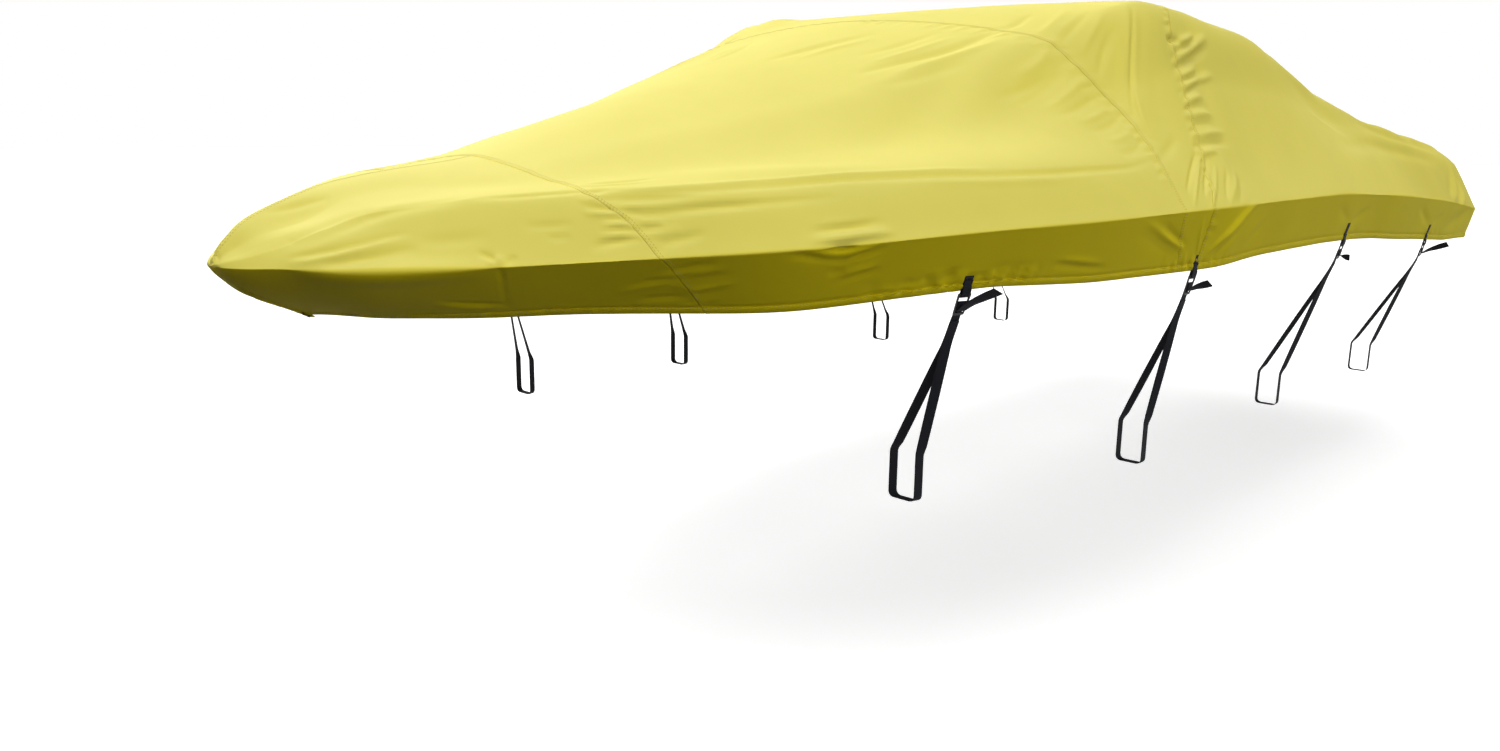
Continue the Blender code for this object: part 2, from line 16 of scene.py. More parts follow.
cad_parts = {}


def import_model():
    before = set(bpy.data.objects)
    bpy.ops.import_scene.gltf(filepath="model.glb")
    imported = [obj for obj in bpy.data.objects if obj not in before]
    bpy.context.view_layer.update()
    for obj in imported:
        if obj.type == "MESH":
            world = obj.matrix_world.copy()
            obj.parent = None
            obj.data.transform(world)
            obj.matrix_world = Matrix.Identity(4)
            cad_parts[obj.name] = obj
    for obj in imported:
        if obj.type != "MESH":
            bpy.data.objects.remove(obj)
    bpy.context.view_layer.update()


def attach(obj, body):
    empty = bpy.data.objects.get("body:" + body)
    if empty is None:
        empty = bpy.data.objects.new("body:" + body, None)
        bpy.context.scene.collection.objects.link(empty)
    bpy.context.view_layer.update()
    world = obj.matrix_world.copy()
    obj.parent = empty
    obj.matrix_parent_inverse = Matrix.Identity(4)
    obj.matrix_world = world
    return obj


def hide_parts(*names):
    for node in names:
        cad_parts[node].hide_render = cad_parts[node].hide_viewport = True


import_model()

PORT = -1
STARBOARD = 1
SIDE_NAMES = {PORT: "port", STARBOARD: "starboard"}

# ---------------------------------------------------------------- the cover's plain shape, as in the CAD
LENGTH = 5.47            # bow tip to stern
SEAM_GAP = 0.0006        # between two panels along a seam
STERN_CORNER = 0.20      # plan radius of the two corners of the stern
STERN_ROLL = 0.10        # length over which the top turns down to the stern
ROLL_ENTRY = 3.5         # how late that turn starts
ROLL_EXIT = 0.74         # how square it meets the stern's edge
MOUNT_AFT = 2.25         # the part's origin, aft of the bow tip
CAD_SHEET = 0.002        # thickness of the solids' panels
SHOULDER_LIMIT = 0.9     # of the way out to the crease, at most

# edge is the height of the hard edge between top and skirt and beam its half-width; a soft crease lies
# crease_in and crease_up from it; shoulder_out and shoulder_up are the rounded upper corner; sag is how far
# the cloth between them hangs. The skirt goes down by skirt_drop and in by skirt_tuck to the hem, and
# skirt_belly is how much of the tuck it leaves to its lower half.
Station = namedtuple("Station", "aft beam edge crease_in crease_up ridge shoulder_out shoulder_up sag"
                                " skirt_drop skirt_tuck skirt_belly")
STATIONS = (
    Station(0.00, 0.000, 0.002, 0.000, 0.000, 0.004, 0.000, 0.003, 0.000, 0.121, 0.200, 0.18),
    Station(0.03, 0.090, 0.003, 0.021, 0.018, 0.057, 0.030, 0.034, 0.000, 0.120, 0.193, 0.17),
    Station(0.07, 0.150, 0.005, 0.036, 0.036, 0.091, 0.060, 0.061, 0.000, 0.119, 0.184, 0.15),
    Station(0.15, 0.255, 0.003, 0.087, 0.082, 0.127, 0.090, 0.087, 0.000, 0.118, 0.167, 0.12),
    Station(0.25, 0.352, 0.006, 0.138, 0.109, 0.160, 0.112, 0.134, 0.002, 0.117, 0.142, 0.08),
    Station(0.56, 0.604, 0.024, 0.138, 0.134, 0.206, 0.190, 0.188, 0.006, 0.122, 0.100, 0.00),
    Station(0.89, 0.835, 0.045, 0.112, 0.124, 0.297, 0.290, 0.260, 0.012, 0.136, 0.070, 0.00),
    Station(1.29, 0.983, 0.067, 0.105, 0.126, 0.412, 0.410, 0.347, 0.018, 0.134, 0.055, 0.00),
    Station(1.69, 1.077, 0.078, 0.100, 0.124, 0.529, 0.530, 0.457, 0.020, 0.154, 0.050, 0.00),
    Station(2.00, 1.108, 0.084, 0.095, 0.118, 0.616, 0.645, 0.548, 0.014, 0.163, 0.045, 0.00),
    Station(2.32, 1.128, 0.088, 0.090, 0.116, 0.660, 0.768, 0.647, 0.002, 0.165, 0.040, 0.00),
    Station(2.70, 1.126, 0.090, 0.090, 0.118, 0.672, 0.775, 0.630, 0.000, 0.160, 0.040, 0.00),
    Station(3.13, 1.120, 0.090, 0.095, 0.125, 0.640, 0.775, 0.592, 0.002, 0.160, 0.040, 0.00),
    Station(3.70, 1.118, 0.070, 0.105, 0.143, 0.490, 0.783, 0.453, 0.006, 0.160, 0.040, 0.00),
    Station(4.10, 1.121, 0.048, 0.120, 0.147, 0.441, 0.789, 0.386, 0.002, 0.164, 0.040, 0.00),
    Station(4.70, 1.112, 0.006, 0.115, 0.160, 0.363, 0.806, 0.310, -0.004, 0.163, 0.035, 0.00),
    Station(5.15, 1.090, -0.035, 0.120, 0.200, 0.303, 0.795, 0.273, -0.008, 0.140, 0.030, 0.00),
    Station(5.47, 1.060, -0.067, 0.095, 0.205, 0.263, 0.840, 0.220, -0.010, 0.125, 0.030, 0.00),
)
ACROSS_KNOTS = (0.0, 0.40, 0.62, 0.84, 1.0)   # centreline, shoulder, flank, crease and hard edge

# The bow seam runs further forward beside the crease than the solids' does, as the photograph shows.
Seam = namedtuple("Seam", "across aft")
BOW_SEAM = (Seam(0.0, 0.600), Seam(0.40, 0.586), Seam(0.67, 0.577), Seam(0.80, 0.560), Seam(0.85, 0.555),
            Seam(0.89, 0.568), Seam(0.93, 0.593), Seam(1.0, 0.610), Seam(1.3, 0.637), Seam(2.0, 0.690))
SCREEN_SEAM = (Seam(0.0, 1.930), Seam(0.35, 1.955), Seam(0.50, 2.000), Seam(0.67, 2.050),
               Seam(0.78, 2.037), Seam(0.89, 2.006), Seam(1.0, 1.990), Seam(2.0, 2.050))
GATHERED_SEAM = (Seam(0.0, 2.500), Seam(0.42, 2.450), Seam(0.50, 2.385), Seam(0.60, 2.355),
                 Seam(0.72, 2.300), Seam(0.85, 2.232), Seam(0.94, 2.182), Seam(1.0, 2.133), Seam(2.0, 2.133))

# ---------------------------------------------------------------- folds
# A fold follows a path of (aft, across) places; rise is negative for a trough.
Fold = namedtuple("Fold", "path half_width rise")
BROAD_FOLDS = (   # these are in the CAD as well
    Fold(((2.25, 0.42), (2.07, 0.76)), 0.045, 0.014),
    Fold(((2.13, 0.5), (1.72, 0.72)), 0.06, 0.009),
    Fold(((1.98, 0.4), (1.45, 0.62)), 0.07, 0.008),
    Fold(((1.8, 0.42), (1.2, 0.66)), 0.07, -0.006),
    Fold(((2.56, 0.4), (2.44, 0.8)), 0.055, -0.008),
    Fold(((2.36, 0.78), (2.3, 1.0)), 0.05, 0.008),
    Fold(((0.7, 0.7), (1.2, 0.8)), 0.05, 0.007),
    Fold(((0.22, 0.3), (0.55, 0.62)), 0.05, -0.005),
    Fold(((3.13, 0.3), (3.95, 0.72)), 0.11, -0.012),
    Fold(((3.6, 0.1), (4.6, 0.4)), 0.14, -0.014),
    Fold(((2.85, 0.0), (3.0, 0.36)), 0.16, -0.012),
    Fold(((4.75, 0.3), (5.2, 0.75)), 0.08, -0.008),
    Fold(((2.38, 1.05), (2.22, 1.6)), 0.035, 0.007),
    Fold(((1.82, 1.05), (2.01, 1.6)), 0.045, -0.006),
)
FINE_FOLDS = (
    # the bow
    Fold(((0.1, 0.1), (0.13, 0.14), (0.17, 0.18), (0.22, 0.27)), 0.012, -0.004),
    Fold(((0.1, 0.9), (0.16, 0.893), (0.22, 0.872), (0.3, 0.85), (0.38, 0.846)), 0.015, -0.005),
    Fold(((0.02, 0.848), (0.08, 0.848), (0.16, 0.848), (0.26, 0.846)), 0.026, -0.009),
    Fold(((0.08, 0.935), (0.13, 0.943), (0.18, 0.936), (0.27, 0.92)), 0.008, -0.005),
    Fold(((0.08, 0.965), (0.165, 0.95), (0.27, 0.932)), 0.011, 0.006),
    Fold(((0.12, 0.985), (0.18, 0.97), (0.27, 0.952)), 0.01, -0.006),
    Fold(((0.27, 0.94), (0.32, 0.943), (0.38, 0.938)), 0.014, -0.003),
    Fold(((0.08, 1.05), (0.13, 1.09), (0.2, 1.09), (0.28, 1.06), (0.36, 1.03)), 0.026, 0.01),
    Fold(((0.26, 1.6), (0.3, 1.68), (0.37, 1.72)), 0.006, -0.004),
    Fold(((0.25, 1.68), (0.3, 1.75), (0.37, 1.78)), 0.006, 0.003),
    # the crease above the first dart-like fold, and the gathers at that fold's top
    Fold(((0.38, 0.846), (0.45, 0.856), (0.52, 0.852), (0.62, 0.853)), 0.009, -0.005),
    Fold(((0.43, 0.928), (0.47, 0.93), (0.51, 0.927)), 0.008, -0.003),
    Fold(((0.455, 0.95), (0.475, 0.951), (0.495, 0.948)), 0.006, -0.003),
    Fold(((0.345, 0.968), (0.358, 0.975), (0.366, 0.99)), 0.006, -0.006),
    Fold(((0.4, 0.978), (0.385, 0.988), (0.372, 0.994)), 0.006, -0.006),
    Fold(((0.35, 0.992), (0.367, 0.985), (0.385, 0.99)), 0.009, 0.005),
    Fold(((0.366, 0.96), (0.3665, 1.08), (0.367, 1.3)), 0.0036, -0.0026),
    Fold(((0.366, 1.0), (0.367, 1.4), (0.368, 1.88)), 0.0036, -0.0022),
    # drawn to the front seam, aft of it
    Fold(((0.59, 0.757), (0.64, 0.745), (0.72, 0.733)), 0.009, -0.004),
    Fold(((0.56, 0.8), (0.62, 0.797), (0.69, 0.79)), 0.008, -0.003),
    Fold(((0.57, 0.889), (0.62, 0.886), (0.67, 0.884), (0.73, 0.88)), 0.0075, -0.005),
    Fold(((0.575, 0.902), (0.625, 0.903), (0.68, 0.898)), 0.007, 0.003),
    Fold(((0.59, 0.911), (0.618, 0.92), (0.65, 0.917), (0.72, 0.908), (0.82, 0.902)), 0.0085, -0.006),
    Fold(((0.605, 0.932), (0.63, 0.934), (0.65, 0.932)), 0.006, 0.004),
    Fold(((0.605, 0.944), (0.625, 0.942), (0.645, 0.944)), 0.006, -0.004),
    Fold(((0.61, 0.955), (0.64, 0.951), (0.67, 0.944)), 0.006, 0.003),
    Fold(((0.615, 0.97), (0.655, 0.966), (0.705, 0.954)), 0.0075, -0.006),
    # drawn to the front seam, forward of it
    Fold(((0.535, 0.884), (0.555, 0.886), (0.575, 0.892)), 0.006, 0.003),
    Fold(((0.54, 0.902), (0.562, 0.905), (0.588, 0.908)), 0.006, -0.004),
    Fold(((0.53, 0.912), (0.56, 0.914), (0.592, 0.919)), 0.0065, 0.005),
    Fold(((0.56, 0.923), (0.58, 0.925), (0.6, 0.928)), 0.006, -0.004),
    Fold(((0.548, 0.937), (0.575, 0.934), (0.6, 0.937)), 0.0065, 0.005),
    Fold(((0.55, 0.945), (0.575, 0.944), (0.602, 0.946)), 0.006, -0.005),
    Fold(((0.535, 0.955), (0.565, 0.952), (0.6, 0.952)), 0.0065, 0.005),
    Fold(((0.515, 0.972), (0.55, 0.964), (0.603, 0.959)), 0.008, -0.006),
    # on the skirt below it
    Fold(((0.632, 1.25), (0.66, 1.17), (0.7, 1.1)), 0.006, -0.0032),
    Fold(((0.64, 1.37), (0.672, 1.28), (0.715, 1.2)), 0.006, 0.0024),
    Fold(((0.645, 1.46), (0.68, 1.37), (0.725, 1.3)), 0.006, -0.003),
    Fold(((0.655, 1.6), (0.69, 1.52), (0.74, 1.45)), 0.006, 0.0024),
    Fold(((0.54, 1.62), (0.59, 1.5), (0.638, 1.42)), 0.007, 0.0024),
    Fold(((0.56, 1.48), (0.6, 1.38), (0.632, 1.32)), 0.007, -0.0024),
    Fold(((0.58, 1.74), (0.62, 1.7), (0.668, 1.68)), 0.007, -0.004),
    # round the second dart-like fold
    Fold(((0.885, 0.952), (0.94, 0.951), (1.01, 0.948)), 0.01, 0.003),
    Fold(((0.88, 0.962), (0.945, 0.96), (1.035, 0.954)), 0.009, -0.008),
    Fold(((0.865, 0.982), (0.94, 0.981), (1.05, 0.976)), 0.009, 0.01),
    Fold(((0.9, 1.01), (0.925, 1.04), (0.95, 1.01)), 0.0065, -0.009),
    Fold(((0.82, 1.04), (0.87, 1.13), (0.926, 1.23)), 0.0075, -0.005),
    Fold(((0.86, 1.04), (0.895, 1.11), (0.924, 1.17)), 0.007, 0.004),
    Fold(((0.928, 1.18), (0.955, 1.11), (0.995, 1.04)), 0.007, 0.004),
    Fold(((0.924, 1.25), (0.965, 1.17), (1.02, 1.08)), 0.0075, -0.005),
    Fold(((0.934, 1.5), (0.965, 1.43), (1.01, 1.36)), 0.008, 0.004),
    Fold(((0.934, 1.58), (0.97, 1.5), (1.02, 1.43)), 0.009, -0.004),
    Fold(((0.924, 1.03), (0.922, 1.25), (0.925, 1.5), (0.929, 1.66)), 0.0045, -0.005),
    # along the crease
    Fold(((0.6, 0.862), (0.744, 0.835), (0.851, 0.821), (1.018, 0.814), (1.152, 0.823), (1.4, 0.838)),
         0.0085, 0.005),
    Fold(((0.6, 0.878), (0.732, 0.863), (0.836, 0.85), (1.002, 0.838), (1.135, 0.846), (1.36, 0.858)),
         0.009, -0.006),
    Fold(((1.1, 0.846), (1.282, 0.857), (1.448, 0.863), (1.649, 0.859), (1.817, 0.853), (2.02, 0.822)),
         0.009, -0.006),
    Fold(((1.1, 0.872), (1.3, 0.88), (1.5, 0.884), (1.7, 0.878)), 0.012, 0.003),
    Fold(((0.66, 0.908), (0.76, 0.904), (0.86, 0.897), (0.98, 0.893)), 0.008, -0.004),
    # the long slope up to the top
    Fold(((1.47, 0.092), (1.58, 0.112), (1.68, 0.13), (1.8, 0.165)), 0.019, -0.007),
    Fold(((1.52, 0.155), (1.65, 0.172), (1.76, 0.19)), 0.016, 0.004),
    Fold(((1.6, 0.26), (1.74, 0.268), (1.88, 0.262)), 0.016, -0.004),
    Fold(((1.5, 0.345), (1.62, 0.352), (1.76, 0.362), (1.9, 0.345), (1.98, 0.33)), 0.018, -0.01),
    Fold(((1.58, 0.31), (1.7, 0.318), (1.86, 0.306)), 0.014, 0.004),
    Fold(((1.55, 0.4), (1.68, 0.402), (1.82, 0.398), (1.93, 0.38)), 0.016, 0.006),
    Fold(((1.48, 0.43), (1.6, 0.44), (1.75, 0.44)), 0.018, -0.004),
    Fold(((1.8, 0.52), (1.9, 0.5), (1.97, 0.468), (2.02, 0.43)), 0.016, 0.006),
    Fold(((1.7, 0.56), (1.84, 0.548), (1.96, 0.52)), 0.016, -0.005),
    Fold(((1.98, 0.525), (1.88, 0.56), (1.76, 0.59)), 0.015, -0.006),
    Fold(((2.01, 0.555), (1.92, 0.59), (1.8, 0.622)), 0.013, 0.006),
    Fold(((2.03, 0.6), (1.93, 0.632), (1.82, 0.652)), 0.013, -0.006),
    Fold(((2.04, 0.64), (1.96, 0.664), (1.86, 0.682)), 0.011, 0.005),
    Fold(((2.05, 0.675), (1.97, 0.7), (1.87, 0.715)), 0.011, -0.005),
    Fold(((2.045, 0.72), (1.97, 0.742), (1.89, 0.755)), 0.012, 0.004),
    Fold(((2.04, 0.76), (1.96, 0.79), (1.87, 0.805)), 0.013, -0.004),
    # between the arc of the seam and the top
    Fold(((2.1, 0.3), (2.02, 0.33), (1.95, 0.345)), 0.014, -0.005),
    Fold(((2.17, 0.33), (2.07, 0.38), (1.99, 0.41)), 0.014, 0.004),
    Fold(((2.16, 0.39), (2.08, 0.43), (2.01, 0.465)), 0.014, -0.007),
    Fold(((2.18, 0.42), (2.1, 0.47), (2.03, 0.51)), 0.012, 0.005),
    Fold(((2.17, 0.47), (2.1, 0.525), (2.05, 0.57)), 0.012, -0.006),
    # the standing fold behind it and the flank down to the hard edge
    Fold(((2.255, 0.4), (2.215, 0.455), (2.172, 0.516), (2.13, 0.581), (2.09, 0.642), (2.062, 0.69)),
         0.0105, 0.005),
    Fold(((2.268, 0.42), (2.23, 0.47), (2.187, 0.53), (2.145, 0.592), (2.105, 0.652), (2.075, 0.7)),
         0.0075, -0.008),
    Fold(((2.29, 0.43), (2.255, 0.475), (2.213, 0.535), (2.17, 0.597), (2.13, 0.657)), 0.024, -0.006),
    Fold(((2.14, 0.6), (2.11, 0.66), (2.085, 0.73)), 0.01, 0.004),
    Fold(((2.19, 0.76), (2.1, 0.8), (2.02, 0.83)), 0.016, -0.004),
    # drawn up by the gathered seam, one below the other
    Fold(((2.345, 0.527), (2.395, 0.528), (2.455, 0.529)), 0.01, -0.014),
    Fold(((2.36, 0.543), (2.445, 0.526), (2.565, 0.5)), 0.01, 0.013),
    Fold(((2.36, 0.555), (2.48, 0.532), (2.575, 0.505)), 0.009, -0.007),
    Fold(((2.35, 0.572), (2.52, 0.532), (2.66, 0.488)), 0.011, 0.013),
    Fold(((2.345, 0.59), (2.5, 0.556), (2.64, 0.518)), 0.011, -0.011),
    Fold(((2.325, 0.614), (2.405, 0.6), (2.51, 0.578)), 0.01, 0.009),
    Fold(((2.315, 0.626), (2.4, 0.613), (2.5, 0.594)), 0.008, -0.005),
    Fold(((2.31, 0.645), (2.45, 0.618), (2.61, 0.59)), 0.01, 0.01),
    Fold(((2.295, 0.668), (2.432, 0.631), (2.52, 0.607)), 0.009, -0.007),
    Fold(((2.29, 0.68), (2.37, 0.668), (2.47, 0.655)), 0.009, 0.007),
    Fold(((2.28, 0.696), (2.36, 0.688), (2.45, 0.682)), 0.008, -0.004),
    Fold(((2.275, 0.716), (2.365, 0.709), (2.475, 0.704)), 0.009, 0.0065),
    Fold(((2.265, 0.738), (2.35, 0.734), (2.45, 0.73)), 0.008, -0.004),
    Fold(((2.245, 0.768), (2.37, 0.76), (2.5, 0.754)), 0.009, 0.0075),
    Fold(((2.23, 0.79), (2.35, 0.788), (2.48, 0.786)), 0.009, -0.0065),
    Fold(((2.215, 0.817), (2.27, 0.813), (2.35, 0.811)), 0.009, 0.007),
    # and from there down to the hard edge
    Fold(((2.235, 0.805), (2.134, 0.876), (2.05, 0.94)), 0.007, -0.006),
    Fold(((2.255, 0.812), (2.166, 0.877), (2.04, 0.99)), 0.0065, 0.0045),
    Fold(((2.278, 0.82), (2.211, 0.882), (2.125, 0.955)), 0.0065, -0.006),
    Fold(((2.296, 0.85), (2.19, 0.946), (2.12, 1.005)), 0.0065, 0.0045),
    Fold(((2.34, 0.865), (2.227, 0.977)), 0.0075, -0.0045),
    Fold(((2.425, 0.86), (2.33, 0.925), (2.23, 0.995)), 0.008, 0.0035),
    Fold(((2.435, 0.89), (2.35, 0.95), (2.275, 1.0)), 0.008, -0.0035),
    # the skirt, drawn to the second strap; the second fold makes the broad one there shallower
    Fold(((1.81, 1.09), (1.853, 1.175), (1.943, 1.402), (2.055, 1.63)), 0.008, 0.006),
    Fold(((1.82, 1.05), (2.01, 1.6)), 0.045, 0.0035),
    Fold(((1.79, 1.23), (1.841, 1.355), (1.921, 1.55), (2.02, 1.74)), 0.008, -0.0015),
    Fold(((1.9, 1.15), (1.98, 1.38), (2.06, 1.56)), 0.01, -0.004),
    Fold(((2.425, 0.995), (2.344, 1.085), (2.27, 1.343), (2.217, 1.565), (2.165, 1.745)), 0.008, 0.009),
    Fold(((2.45, 1.04), (2.392, 1.176), (2.332, 1.44), (2.259, 1.682), (2.205, 1.88)), 0.0085, -0.008),
    Fold(((2.52, 1.2), (2.479, 1.333), (2.395, 1.716)), 0.01, 0.004),
    Fold(((2.56, 1.3), (2.5, 1.5), (2.43, 1.74)), 0.01, -0.003),
    Fold(((2.09, 1.1), (2.1, 1.4), (2.121, 1.72)), 0.007, 0.003),
    Fold(((1.49, 1.64), (1.6, 1.71), (1.7, 1.78)), 0.008, -0.005),
    Fold(((1.51, 1.56), (1.6, 1.64), (1.68, 1.7)), 0.008, 0.004),
    # the after flank and the stern
    Fold(((3.24, 0.445), (3.45, 0.444), (3.74, 0.44)), 0.045, 0.013),
    Fold(((3.9, 0.64), (4.25, 0.64), (4.6, 0.66), (4.9, 0.7), (5.12, 0.78)), 0.05, 0.012),
    Fold(((3.45, 0.81), (3.78, 0.777), (4.03, 0.752), (4.29, 0.761), (4.53, 0.782), (4.95, 0.84)),
         0.034, -0.01),
    Fold(((3.98, 0.5), (4.2, 0.52), (4.45, 0.56), (4.8, 0.61), (5.1, 0.66)), 0.04, -0.007),
    Fold(((3.4, 0.59), (3.55, 0.66), (3.78, 0.725)), 0.04, 0.006),
    Fold(((5.16, 0.85), (5.041, 0.91), (4.9, 0.96), (4.72, 0.996)), 0.014, 0.012),
    Fold(((5.18, 0.88), (5.101, 0.928), (5.0, 0.965), (4.87, 0.992)), 0.013, -0.012),
    Fold(((5.15, 0.935), (5.08, 0.964), (4.96, 0.998)), 0.012, 0.009),
    Fold(((5.02, 0.88), (4.9, 0.93), (4.72, 0.975)), 0.016, -0.005),
    Fold(((5.38, 0.78), (5.33, 0.86), (5.3, 0.94)), 0.012, -0.006),
    Fold(((5.2, 1.05), (5.0, 1.35), (4.72, 1.64)), 0.03, -0.006),
    Fold(((4.2, 1.2), (4.36, 1.5), (4.44, 1.64)), 0.016, -0.004),
    Fold(((4.62, 1.3), (4.54, 1.48), (4.48, 1.62)), 0.014, -0.003),
    Fold(((3.2, 1.25), (3.31, 1.48), (3.37, 1.6)), 0.014, -0.004),
    Fold(((3.58, 1.3), (3.46, 1.5), (3.4, 1.6)), 0.014, -0.004),
)

# The side away from the photograph's camera shows only its outline.
FAR_FOLDS = (
    Fold(((1.88, 0.47), (2.08, 0.45), (2.2, 0.425), (2.36, 0.39)), 0.05, -0.036),
    Fold(((2.08, 0.24), (2.26, 0.26), (2.44, 0.25)), 0.06, 0.012),
)

# Short gathers drawn up by a line of stitching: from and to, across, on one side of the seam (-1 is
# forward). reach is how far they run, rise how high they stand, and lean how much across they gain on
# the way, in place across for each metre.
Gathers = namedtuple("Gathers", "seam start end spacing side reach rise half_width lean")
GATHERS = (
    Gathers("bow", 0.10, 0.85, 0.060, 1, 0.040, 0.0010, 0.006, 0.0),
    Gathers("bow", 0.86, 0.99, 0.028, 1, 0.045, 0.0018, 0.006, -0.2),
    Gathers("bow", 1.15, 1.90, 0.030, 1, 0.045, 0.0018, 0.005, -2.0),
    Gathers("bow", 1.15, 1.90, 0.032, -1, 0.036, 0.0014, 0.005, 1.6),
    Gathers("screen", 0.05, 0.60, 0.050, -1, 0.060, 0.0016, 0.008, 0.1),
    Gathers("screen", 0.60, 0.90, 0.034, -1, 0.045, 0.0020, 0.007, 0.2),
    Gathers("screen", 0.05, 0.90, 0.050, 1, 0.035, 0.0012, 0.007, 0.0),
    Gathers("gathered", 0.40, 0.97, 0.032, -1, 0.040, 0.0022, 0.0075, 0.3),
    Gathers("gathered", 1.08, 1.60, 0.030, 1, 0.045, 0.0024, 0.0075, 0.9),
    Gathers("gathered", 0.00, 0.40, 0.040, 1, 0.080, 0.0045, 0.0090, -0.3),
)
SEAMS = {"bow": BOW_SEAM, "screen": SCREEN_SEAM, "gathered": GATHERED_SEAM}

# Small upright gathers along the hem: from and to, metres aft.
HemGathers = namedtuple("HemGathers", "start end spacing reach rise")
HEM_GATHERS = (
    HemGathers(0.30, 0.60, 0.045, 0.16, 0.0012),
    HemGathers(0.98, 1.50, 0.034, 0.36, 0.0075),
    HemGathers(1.90, 2.40, 0.045, 0.26, 0.0030),
    HemGathers(3.20, 3.60, 0.050, 0.28, 0.0034),
    HemGathers(4.25, 4.70, 0.045, 0.28, 0.0036),
    HemGathers(5.10, 5.40, 0.035, 0.22, 0.0022),
)

GATHER_SEED = 11
FIRST_GATHER = 0.3       # of the spacing, from the start
GATHER_OVERLAP = 0.012   # each starts this far on the other side of its seam
REACH_VARIES = (0.55, 1.25)   # each gather's reach, rise and so on, as shares of its row's
RISE_VARIES = (0.55, 1.2)
WIDTH_VARIES = (0.8, 1.25)
SPACING_VARIES = (0.7, 1.35)
LEAN_VARIES = 0.12
HEM_GATHER_FOOT = 2.06   # across; a little past the hem
HEM_GATHER_WIDTH = 0.0075
HEM_REACH_VARIES = (0.6, 1.3)
HEM_RISE_VARIES = (0.6, 1.25)
HEM_WIDTH_VARIES = (0.8, 1.3)
HEM_SLANT_VARIES = 0.01
FOLD_LIMITS = (0.02, LENGTH - 0.01, 1.999)   # the least and the most aft, and the most across, of a path

FOLD_REACH = 2.6         # half widths from its path, beyond which a fold is too faint to count
TIP_CALM = 0.10          # at the bow tip the folds fade out over this length
DRIFT_SEED = 5
DRIFT_WAVES = 26
DRIFT_LENGTHS = (0.22, 0.9)   # of the shortest and the longest wave
DRIFT_RISE = 0.00042     # of a wave of the length below
DRIFT_LENGTH = 0.5
DRIFT_TURN_VARIES = 0.5
DRIFT_ASIDE = 0.9
DRIFT_SLOPE_VARIES = 0.3
DRIFT_START = 6.3        # how far on, in radians, a wave may start

# ---------------------------------------------------------------- sewing
Swell = namedtuple("Swell", "place width rise")   # a ridge or groove beside an edge, this far from it
SEAM_EDGE = Swell(0.0, 0.0014, -0.0009)           # each panel's edge turns down into the seam
STEM_BINDING = (Swell(0.014, 0.004, 0.0024), Swell(0.023, 0.005, -0.0018))
FLAP_STEPS = (0.0020, 0.0050, 0.010)   # a panel's rear edge runs on this far under the next panel
FLAP_DEPTH = 0.0021
LIP = 0.0016             # how deep the lapping panel's folded edge is
LAP_DIP = 0.5            # its share of the turn down into the seam
LAP_WIDTH = 0.013
LAP_RISE = 0.0006
LAP_END = 0.0012         # the lap ends over about this width
HEM_WIDTH = 0.019
HEM_RISE = 0.0017
HEM_FULLNESS = 0.7       # below 1 the hem's roll is fuller
HEM_LINE = Swell(HEM_WIDTH + 0.002, 0.0026, -0.0016)   # the hem's stitching pulls it in
HEM_THICK = 0.0026       # the hem is turned up inside
HEM_TURN = ((-0.0008, 0.35 * HEM_THICK), (-0.0004, HEM_THICK), (HEM_WIDTH, HEM_THICK + 0.0006))   # in, deep
HEM_INNER = 4            # the column, from the hem, that tells which way is inwards
MIDDLE_TURN = 0.004      # the two bow panels are turned in this far where they meet
MIDDLE_GAP = 0.00005
STITCH_LONG = 0.0052
STITCH_PITCH = 0.0078
STITCH_THICK = 0.0011
STITCH_SINK = 0.00045    # a line of stitching pulls the cloth in by this much
STITCH_SINK_WIDTH = 0.0014
SEAM_ROWS = (0.0045, 0.0105)   # stitch lines, from the seam
HEM_ROW = 0.0175

# How plainly the arched seam shows, by place across.
Shown = namedtuple("Shown", "across share")
ARC_SHOWN = (Shown(0.0, 0.0), Shown(0.36, 0.0), Shown(0.48, 1.0), Shown(0.84, 1.0), Shown(0.94, 0.2),
             Shown(2.0, 0.2))
ARC_FAINTEST = 0.25

# One thread: two shoulders along it, and its shape in shares of its thickness.
THREAD_SHOULDERS = (0.22, 0.78)
THREAD_TAPER = 0.85
THREAD_SUNK = 0.15
THREAD_LIFT = 0.30
THREAD_WIDE = 0.62
THREAD_HIGH = 0.5

# ---------------------------------------------------------------- mesh steps, in metres
BOW_STEP = 0.0045        # between columns
MIDDLE_STEP = 0.0056
AFT_STEP = 0.0075
BOW_ROWS = 150
BOW_CROWDING = 1.15      # above 1 the rows are closer at the bow tip
BOW_LAST_ROWS = (0.0060, 0.0040, 0.0024, 0.0010, 0.0)   # ahead of the bow seam
BOW_LAST_GAP = 1.3       # and no other row within this many times the first
AFT_LENGTH = 3.17        # of the aft panel, about
# Rows a fine step apart stand at both ends, for the length of each band, and grow to a coarse one between.
RowPlan = namedtuple("RowPlan", "length fine coarse first_band last_band")
FORE_ROWS = RowPlan(1.40, 0.0045, 0.0140, 0.09, 0.05)
SCREEN_ROWS = RowPlan(0.42, 0.0050, 0.0070, 0.015, 0.04)
AFT_ROWS = RowPlan(AFT_LENGTH - STERN_CORNER, 0.0058, 0.021, 0.13, 0.0)
ROW_STARTS = (0.0, 0.0010, 0.0024, 0.0046)   # the first rows of all, beside a seam
ROW_GROWTH = 1.22
STERN_ROW_GAP = 0.012    # ahead of the stern's corner
STERN_ANGLES = range(0, 91, 5)   # a row for each, round that corner, in degrees
Band = namedtuple("Band", "start end width")      # from and to, across, and about how wide that is
TOP_BANDS = (Band(0.0, 0.40, 0.78), Band(0.40, 0.62, 0.25), Band(0.62, 0.84, 0.26), Band(0.84, 0.982, 0.130))
